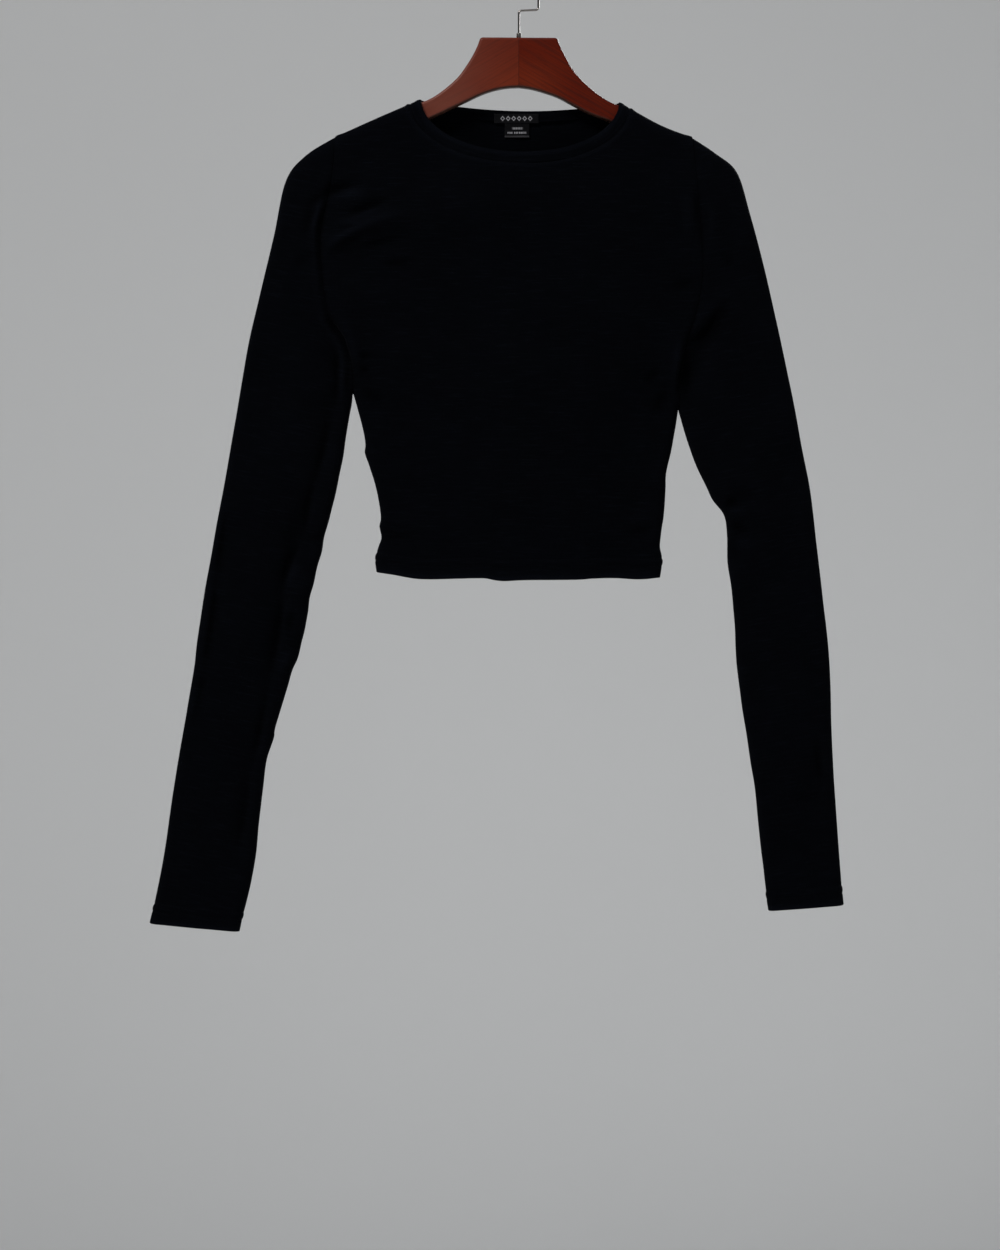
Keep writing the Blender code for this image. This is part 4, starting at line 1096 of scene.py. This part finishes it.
def make_neckband(finish):
    """Binding round the neck: a ring of rows from its rolled edge out to the seam."""
    layers = []
    t = np.linspace(0.0, 1.0, BAND_ROWS)[:, None]
    for layer in SIDE:
        edge, seam, out = neck_lines(layer, NECK_ANGLES[layer])
        place, _ = surface(edge + t[..., None] * (seam - out * SEAM_GAP / 2 - edge), layer)
        place[:, (0, -1), 1] = middle_y(place[:, (0, -1), 2])
        relief = BAND_SWELL * bell(t * BAND_WIDTH - BAND_SWELL_AT, BAND_SWELL_WIDTH)
        relief = relief - NECK_DIP * bell((t - 1.0) * BAND_WIDTH, NECK_DIP_WIDTH)
        ripple = line_noise(np.arange(len(edge)) / BAND_RIPPLE_POINTS, BAND_SEED + len(edge))
        layers.append((place, relief + BAND_RIPPLE * ripple * np.sin(math.pi * t)))
    place, relief = map(joined, zip(*layers))
    half = len(NECK_ANGLES["front"]) - 1
    place, normal = relieved_ring(place, relief, half)
    # paler along the rolled edge, partly as rubbing and partly as a painted highlight
    rub_and_shade = np.broadcast_to(0.8 * bell(t * BAND_WIDTH - 1.5, 1.8), relief.shape)
    mesh = shell("neck_binding", place, normal, BAND_CLOTH, ring=True, ends=(1.0, 0.1), rub_and_shade=rub_and_shade,
                 wrap=half)
    return new_object("neck_binding", mesh, finish, "neckband")


def make_label(name, node, row, finish):
    """Label sewn inside the back of the neck, made from the back's own points, moved in."""
    middle, top, width, height, start, end, curl = row
    x, z = np.linspace(-0.5, 0.5, 41), np.linspace(0.0, 1.0, 17)
    grid = np.stack(np.meshgrid(middle + x * width, top - z * height), axis=2)
    place, edges = surface(grid, "back")
    z = z[:, None]
    outward = np.sign(grid_normals(place, False)[..., 1].mean())
    lift = start + (end - start) * smooth(z / 0.5)
    lift = lift + curl * z**2 * (1.0 + 0.5 * np.cos(6.0 * x + middle))
    relief = cloth_relief(grid, edges, "torso", "back", (), ())[0]
    place, normal = relieved(place, relief * smooth(z) - lift, outward, False, ())
    mesh = shell(name, place, normal, LABEL_CLOTH, ends=(0.4, 0.4))
    return new_object(name, mesh, finish, node)


# ---------------- the hanger

def round_corner(corner, before, after, radius):
    """Points of the arc that rounds the corner between two straight lines."""
    first, second = unit(before - corner), unit(after - corner)
    half = math.acos(first @ second) / 2
    centre = corner + unit(first + second) * radius / math.sin(half)
    ends = [corner + way * radius / math.tan(half) - centre for way in (first, second)]
    share = np.linspace(0.0, 1.0, 8)[:, None]
    return centre + radius * unit(ends[0] * (1 - share) + ends[1] * share)


def hanger_arm(shoulder, sections, flank, arch):
    """Outline of one half: head and flank, along under the cloth, round the tip and back."""
    seam = spline(shoulder, SHOULDER_POINTS)
    edge = np.vstack([seam, spline(sections)[1:, :2]])
    top = at_lengths(edge, np.linspace(0.0, run(seam)[-1] + ARM_OVERHANG, 24))
    step = unit(top[-1] - top[-2])
    square = np.array([step[1], -step[0]])
    square *= -np.sign(square[1])
    top = top - (0.0, ARM_DROP / abs(square[1]))
    tip = top[-1] + square * ARM_TIP_ROUND
    turn = np.linspace(math.pi / 20, math.pi, 20)[:, None]
    round_tip = tip + ARM_TIP_ROUND * (step * np.sin(turn) - square * np.cos(turn))
    low = top[1:-1][::-1] - (0.0, ARM_DEPTH)
    low = low[np.abs(low[:, 0]) < np.abs(round_tip[-1, 0]) - 3.0]
    side = spline(flank, 36)
    beyond = side[np.linalg.norm(side - side[0], axis=1) > 1.2 * HEAD_CORNER]
    head = round_corner(side[0], side[0] * (0.0, 1.0), beyond[0], HEAD_CORNER)
    return np.vstack([head, beyond, top, round_tip, low, spline(arch, 40)[::-1]])


def make_hanger(finish):
    """Wooden body: a flat outline given its thickness, with rounded edges."""
    left = hanger_arm(SHOULDER_LEFT, SLEEVE_LEFT, FLANK_LEFT, ARCH_LEFT)
    right = hanger_arm(SHOULDER_RIGHT, SLEEVE_RIGHT, FLANK_RIGHT, ARCH_RIGHT)
    outline = np.vstack([left, right[::-1][1:]])
    mesh = bpy.data.meshes.new("wooden_hanger")
    mesh.from_pydata([(x * MM, 0.0, z * MM) for x, z in outline], [], [tuple(range(len(outline)))])
    modifiers = new_object("wooden_hanger", mesh, finish, "hanger").modifiers
    set_all(modifiers.new("thickness", "SOLIDIFY"), thickness=HANGER_THICKNESS * MM, offset=0.0)
    set_all(modifiers.new("rounded edges", "BEVEL"), width=HANGER_ROUND * MM, segments=5,
            limit_method="ANGLE", angle_limit=math.radians(60), use_clamp_overlap=False)
    modifiers.new("flat faces", "WEIGHTED_NORMAL")


def arc(x, z, radius, start, end, steps):
    """Points of an arc in the XZ plane, its angles in degrees from +X towards +Z."""
    turn = np.radians(np.linspace(start, end, steps))
    return np.stack([x + radius * np.cos(turn), z + radius * np.sin(turn)], axis=1)


def make_hook(finish):
    """Bent wire: up from the collar, across in a jog, up again and over in the hook."""
    path = np.vstack([
        [(0.0, HOOK_FOOT), (0.0, HOOK_FOOT + 8.0)],
        arc(BEND_RADIUS, JOG_Z - BEND_RADIUS, BEND_RADIUS, 180, 93, 14),
        arc(HOOK_RADIUS - BEND_RADIUS, JOG_Z + JOG_RISE + BEND_RADIUS, BEND_RADIUS, -87, 0, 14),
        arc(0.0, WIRE_RADIUS - HOOK_RADIUS, HOOK_RADIUS, 0, HOOK_END_ANGLE, 72),
    ])
    line = set_all(bpy.data.curves.new("wire_hook", "CURVE"), dimensions="3D",
                   bevel_depth=WIRE_RADIUS * MM, bevel_resolution=7, use_fill_caps=True)
    points = line.splines.new("POLY").points
    points.add(len(path) - 1)
    for point, (x, z) in zip(points, path):
        point.co = (x * MM, 0.0, z * MM, 1.0)
    new_object("wire_hook", line, finish, "hook")


def make_collar(finish):
    """Collar at the foot of the hook: a closed profile turned about the wire."""
    turn = np.linspace(0.0, 2 * math.pi, 48, endpoint=False)
    radius, z = np.array(COLLAR_PROFILE).T[..., None]
    points = np.stack([radius * np.cos(turn), radius * np.sin(turn), HOOK_FOOT + z + 0 * turn],
                      axis=2)
    number = np.arange(points.size // 3).reshape(len(z), len(turn))
    below, beside = np.roll(number, -1, axis=0), np.roll(number, -1, axis=1)
    quads = np.stack([number, beside, np.roll(below, -1, axis=1), below], axis=2).reshape(-1, 4)
    mesh = closed_mesh("foot_collar", points.reshape(-1, 3), quads)
    new_object("foot_collar", mesh, finish, "hook_collar")
    mesh.set_sharp_from_angle(angle=math.radians(40))


# ---------------- materials

def operator(operation, turned=False):
    """A method of Value for an operator: one Math node on both numbers."""
    def method(value, other):
        return value.maths(operation, *((other, value) if turned else (value, other)))
    return method


class Value:
    """A number inside a material, which adds, multiplies and so on as numbers do."""

    def __init__(self, finish, socket):
        self.finish, self.socket = finish, socket

    def maths(self, operation, *numbers, clamp=False):
        """One Math node on the numbers, by default on this one."""
        inputs = dict(enumerate(numbers or (self,)))
        return self.finish.add("ShaderNodeMath", inputs, operation=operation, use_clamp=clamp)

    __add__ = __radd__ = operator("ADD")
    __mul__ = __rmul__ = operator("MULTIPLY")
    __sub__, __rsub__ = operator("SUBTRACT"), operator("SUBTRACT", turned=True)
    __truediv__ = operator("DIVIDE")

    def wave(self):
        """Its sine, brought between 0 and 1."""
        return self.maths("SINE") * 0.5 + 0.5

    def size(self):
        return self.maths("ABSOLUTE")

    def saw(self):
        """How far past the last whole number it is."""
        return self.maths("FRACT")

    def clamped(self):
        return self.maths("ADD", self, 0.0, clamp=True)

    def between(self, low, high):
        """0 at low and 1 at high, with a smooth rise."""
        return self.finish.add("ShaderNodeMapRange", {0: self, 1: low, 2: high},
                               interpolation_type="SMOOTHSTEP")

    def within(self, low, high):
        """1 up to a distance of low from 0, falling to 0 at a distance of high."""
        return 1.0 - self.size().between(low, high)


class Finish:
    """A material, with calls that add nodes and set the sockets of its shader."""

    def __init__(self, name):
        self.material = bpy.data.materials.new(name)
        self.material.use_nodes = True
        self.tree = self.material.node_tree
        self.shader = self.tree.nodes["Principled BSDF"]

    def put(self, socket, given):
        """Links a Value to a socket, or sets the socket to a plain number or colour."""
        if isinstance(given, Value):
            self.tree.links.new(given.socket, socket)
        else:
            socket.default_value = given

    def node(self, kind, sockets, **settings):
        """A new node with its settings, and its sockets by name or number."""
        node = set_all(self.tree.nodes.new(kind), **settings)
        for key, value in sockets.items():
            self.put(node.inputs[key], value)
        return node

    def add(self, kind, sockets, out=0, **settings):
        """One output of a new node."""
        return Value(self, self.node(kind, sockets, **settings).outputs[out])

    def mix(self, factor, first, second):
        """One colour mixed with another."""
        return self.add("ShaderNodeMix", {0: factor, 6: first, 7: second}, out=2, data_type="RGBA")

    def noise(self, vector, scale, detail=2.0, roughness=0.5, distortion=0.0):
        return self.add("ShaderNodeTexNoise", {"Vector": vector, "Scale": scale, "Detail": detail,
                                               "Roughness": roughness, "Distortion": distortion})

    def noise_at(self, x, y, z, *settings):
        """Noise at a point given by its three numbers, already scaled."""
        return self.noise(self.add("ShaderNodeCombineXYZ", {0: x, 1: y, 2: z}), 1.0, *settings)

    def split(self, vector):
        """The three numbers of a vector."""
        node = self.node("ShaderNodeSeparateXYZ", {0: vector})
        return [Value(self, output) for output in node.outputs]

    def place(self):
        return self.add("ShaderNodeTexCoord", {}, out="Object")

    def facing_up(self):
        """How far the surface faces up: 1 on a top, 0 on a side, -1 below."""
        return self.split(self.add("ShaderNodeNewGeometry", {}, out="Normal"))[2]

    def weave(self):
        """Place on the cloth in millimetres: across its wales, and along them."""
        x, y, _ = self.split(self.add("ShaderNodeUVMap", {}, uv_map="weave"))
        return x * 1000.0, y * 1000.0

    def finish(self, height=None, strength=1.0, **sockets):
        """Sets the shader's sockets, with a bump from a height in millimetres."""
        if height is not None:
            bump = {"Height": height, "Strength": strength, "Distance": MM}
            sockets["Normal"] = self.add("ShaderNodeBump", bump)
        for key, value in sockets.items():
            self.put(self.shader.inputs[key.replace("_", " ")], value)
        return self.material


def jersey():
    """Fine black slub jersey: V-shaped stitches in wales, thick places along the courses."""
    f = Finish("black_jersey")
    across_it, along_it = f.weave()
    wale = (across_it / WALE).saw()
    leg = 1.0 - ((wale - 0.5).size() * 4.0 - 1.0).size()
    loop = ((along_it / COURSE + (wale - 0.5).size() * 1.2) * math.tau).wave()
    knit = leg * (loop * 0.6 + 0.4)
    thick = f.noise_at(across_it * 0.045, along_it * 0.75, 0.0, 3.0, 0.65).between(0.5, 0.72)
    place = f.place()
    cloud = f.noise(place, 26.0, 3.0, 0.55)
    fuzz = f.noise(place, 2600.0, 2.0, 0.6)
    rubbed_or_shaded = f.add("ShaderNodeAttribute", {}, out="Fac", attribute_name="rub_and_shade")
    # painted shade darkens sunk creases and seams; risen ones pale, partly rubbed and partly
    # painted highlight
    tone = knit * 0.15 + thick * 0.35 + cloud * 0.25 + fuzz * 0.25 + rubbed_or_shaded * RUB_AND_SHADE_TONE - 0.05
    height = knit * 0.09 + thick * 0.1 + fuzz * 0.05 + cloud * 0.3
    return f.finish(height, 0.8, Base_Color=f.mix(tone.clamped(), BLACK, BLACK_HIGH),
                    Roughness=fuzz * 0.15 + 0.78, Specular_IOR_Level=0.014, Sheen_Weight=0.009,
                    Sheen_Roughness=0.5, Sheen_Tint=(0.72, 0.78, 1.0, 1.0))


def sewing_thread():
    """Black twisted thread, a little glossier than the cloth."""
    f = Finish("black_thread")
    x, y, z = f.split(f.place())
    twist = ((x + y + z) * 9000.0).wave()
    return f.finish(twist * 0.04, 0.6, Base_Color=f.mix(twist, BLACK, BLACK_HIGH),
                    Roughness=twist * 0.2 + 0.6, Specular_IOR_Level=0.03, Sheen_Weight=0.012)


def label_satin(name, motif):
    """Black woven satin with its plain pattern in a paler thread."""
    f = Finish(name)
    x, y = f.weave()
    rib = (y * 14.0).wave() * ((x * 9.0).wave() * 0.5 + 0.5)
    drawn = motif(f, x, y)
    ground = f.mix(rib * 0.5 + f.noise(f.place(), 900.0) * 0.5, *LABEL_BLACK)
    return f.finish(rib * 0.03 + drawn * 0.06, 0.7, Base_Color=f.mix(drawn, ground, LABEL_THREAD),
                    Roughness=0.62 - rib * 0.25, Specular_IOR_Level=0.08, Sheen_Weight=0.03)


def diamonds(f, x, y):
    """A row of six small diamonds along the middle of the label."""
    step = (x / DIAMOND_STEP).saw()
    reach = (step - 0.5).size() * DIAMOND_STEP / 2.2 + (y - 3.9).size() / 2.5
    return reach.within(0.82, 0.95) * reach.between(0.42, 0.55) * x.within(14.0, 14.1)


def bars(f, x, y):
    """A short row of bars over a long one, as on any care label, and a pale fold at the foot."""
    dash = f.noise_at(x * 1.5, y.between(6.0, 6.4) * 7.3, 0.0, 0.0).between(0.40, 0.46)
    short = (x - 0.3).within(4.4, 4.7) * (y - 4.8).within(0.8, 1.0)
    wide = x.within(7.9, 8.2) * (y - 8.6).within(0.7, 0.9)
    return (short + wide) * dash * 0.9 + y.between(11.0, 11.3) * 0.12


def varnished_wood():
    """Red-brown varnished wood: straight grain that meets in a chevron at the glued middle."""
    f = Finish("red_brown_wood")
    x, y, z = f.split(f.place())
    right = (x * 4000.0).between(-0.5, 0.5)
    side = x.size()
    along = side * GRAIN_COS - z * GRAIN_SIN
    over = side * GRAIN_SIN + z * GRAIN_COS
    drift = f.noise_at(along * 7.0, over * 40.0, right * 9.0 + y * 20.0) * 0.5
    grain = f.noise_at(along * 14.0, over * 620.0, right * 5.0 + y * 60.0 + drift, 4.0, 0.62)
    band = f.noise_at(along * 4.0, over * 95.0, right * 3.0 + y * 30.0, 2.0, 0.5, 0.4)
    pore = f.noise_at(along * 60.0, over * 2600.0, y * 900.0, 1.0).between(0.62, 0.74)
    cloud = f.noise_at(x * 30.0, y * 30.0, z * 60.0)
    joint = 1.0 - (side * 1000.0).between(0.1, 0.45)
    middle = (1.0 - z.between(-0.098, -0.064)) * (1.0 - side.between(0.01, 0.05))
    colour = f.mix(right, f.mix(band, *WOOD_LEFT), f.mix(band, *WOOD_RIGHT))
    for amount, tint in (
            (middle * 0.4, WOOD_WARM),
            (grain.between(0.42, 0.66) * (right * 0.2 + 0.3), WOOD_DARK),
            (pore * (right * 0.2 + 0.25), WOOD_PORE),
            # painted reflection of the varnish, out along the left arm
            ((1.0 - x.between(-0.085, 0.0)) * (cloud * 0.5 + 0.3), WOOD_PAINTED_SHINE),
            (joint * 0.45, WOOD_PORE),
            # painted reflection and shade on faces turned down
            ((1.0 - f.facing_up().between(-0.75, -0.25)) * 0.9, WOOD_PAINTED_UNDERSIDE)):
        colour = f.mix(amount, colour, tint)
    orange_peel = f.noise(f.place(), 420.0, 1.0)
    height = orange_peel * 0.02 - pore * 0.03 - joint * 0.25 + grain * 0.02
    return f.finish(height, 0.6, Base_Color=colour, Roughness=grain * 0.15 + 0.34,
                    Coat_Weight=0.08, Coat_Roughness=0.22, Coat_IOR=1.45, Specular_IOR_Level=0.1)


def bright_wire(name, colour, roughness):
    """Plated wire with faint scuffs that run along it."""
    f = Finish(name)
    x, y, z = f.split(f.place())
    scuff = f.noise_at(x * 900.0, y * 900.0, z * 240.0, 3.0)
    dull = (colour[0] * 0.55, colour[1] * 0.54, colour[2] * 0.52, 1.0)
    tint = f.mix(scuff * 0.35 + f.noise(f.place(), 160.0) * 0.3, colour, dull)
    return f.finish(scuff * 0.012, 0.5, Base_Color=tint, Roughness=scuff * 0.2 + roughness,
                    Metallic=1.0)


def plain(name, colour, roughness, glow=0.0):
    """Matt paint with a faint mottle, for the floor and the wall."""
    f = Finish(name)
    darker = (*(0.97 * part for part in colour[:3]), 1.0)
    tint = f.mix(f.noise(f.place(), 1.4, 3.0), darker, colour)
    return f.finish(Base_Color=tint, Roughness=roughness, Specular_IOR_Level=0.1,
                    Emission_Color=tint, Emission_Strength=glow)


# ---------------- the scene

def stage_plane(name, corner, opposite, finish):
    """A flat part of the stage, in metres: level, or upright if its corners have the same y."""
    (x, y, z), (far_x, far_y, far_z) = corner, opposite
    mesh = bpy.data.meshes.new(name)
    mesh.from_pydata([corner, (far_x, y, z), opposite, (x, far_y, far_z)], [], [(0, 1, 2, 3)])
    mesh.materials.append(finish)
    added(name, mesh)


def area_light(name, place, aim, size, power, colour):
    """A square soft light at a place, turned to face its aim."""
    lamp = set_all(bpy.data.lights.new(name, "AREA"), size=size, energy=power, color=colour)
    way = np.array(aim) - np.array(place)
    turn = math.atan2(way[1], way[0]) - math.pi / 2
    tilt = math.atan2(way[2], math.hypot(way[0], way[1])) + math.pi / 2
    set_all(added(name, lamp), location=place, rotation_euler=(tilt, 0.0, turn),
            visible_camera=False)


def make_room():
    """A pale room all round, which lights the object only weakly."""
    world = bpy.data.worlds.new("pale_room")
    bpy.context.scene.world = world
    world.use_nodes = True
    nodes, links = world.node_tree.nodes, world.node_tree.links
    weak, pale = nodes["Background"], nodes.new("ShaderNodeBackground")
    path, mix = nodes.new("ShaderNodeLightPath"), nodes.new("ShaderNodeMixShader")
    for node, colour, strength in ((weak, WORLD_COLOUR, WORLD_STRENGTH), (pale, ROOM_COLOUR, 1.0)):
        node.inputs["Color"].default_value = colour
        node.inputs["Strength"].default_value = strength
    outputs = path.outputs["Is Camera Ray"], weak.outputs[0], pale.outputs[0]
    for socket, output in zip(mix.inputs, outputs):
        links.new(output, socket)
    links.new(mix.outputs[0], nodes["World Output"].inputs["Surface"])


def make_stage():
    """Floor, wall far behind, soft lights and the level camera in front."""
    wall = plain("pale_wall", WALL_COLOUR, 0.9)
    floor = plain("pale_floor", FLOOR_COLOUR, 0.8, FLOOR_GLOW)
    far = STAGE_REACH
    stage_plane("floor", (-far, -far, FLOOR_Z), (far, far, FLOOR_Z), floor)
    stage_plane("backdrop", (-far, WALL_Y, FLOOR_Z), (far, WALL_Y, WALL_TOP), wall)
    for row in LIGHTS:
        area_light(*row)
    make_room()
    lens = set_all(bpy.data.cameras.new("camera"), sensor_width=36.0,
                   lens=36.0 * CAMERA_DISTANCE / FRAME_HEIGHT)
    camera = set_all(added("camera", lens), rotation_euler=(math.pi / 2, 0.0, 0.0),
                     location=(CAMERA_X, -CAMERA_DISTANCE, CAMERA_Z))
    bpy.context.scene.camera = camera
    bpy.context.scene.view_settings.view_transform = "Standard"


def make_garment():
    """The cut pieces, each made of cloth with its stitches."""
    cloth, thread = jersey(), sewing_thread()
    for layer in SIDE:
        panel, rows = make_panel(layer, cloth, thread)
    for name, sections, toward in (("left", SLEEVE_LEFT, -1), ("right", SLEEVE_RIGHT, 1)):
        sleeve, rows = make_sleeve(name, sections, toward, cloth, thread)
    band = make_neckband(cloth)
    for name, node, row, motif in (("woven_label", "brand_label", BRAND_LABEL, diamonds),
                                   ("care_tab", "care_label", CARE_LABEL, bars)):
        label = make_label(name, node, row, label_satin(name + "_satin", motif))


make_hanger(varnished_wood())
make_hook(bright_wire("chromed_wire", CHROME, 0.12))
make_collar(bright_wire("dull_collar", COLLAR_METAL, 0.3))
make_garment()
make_stage()
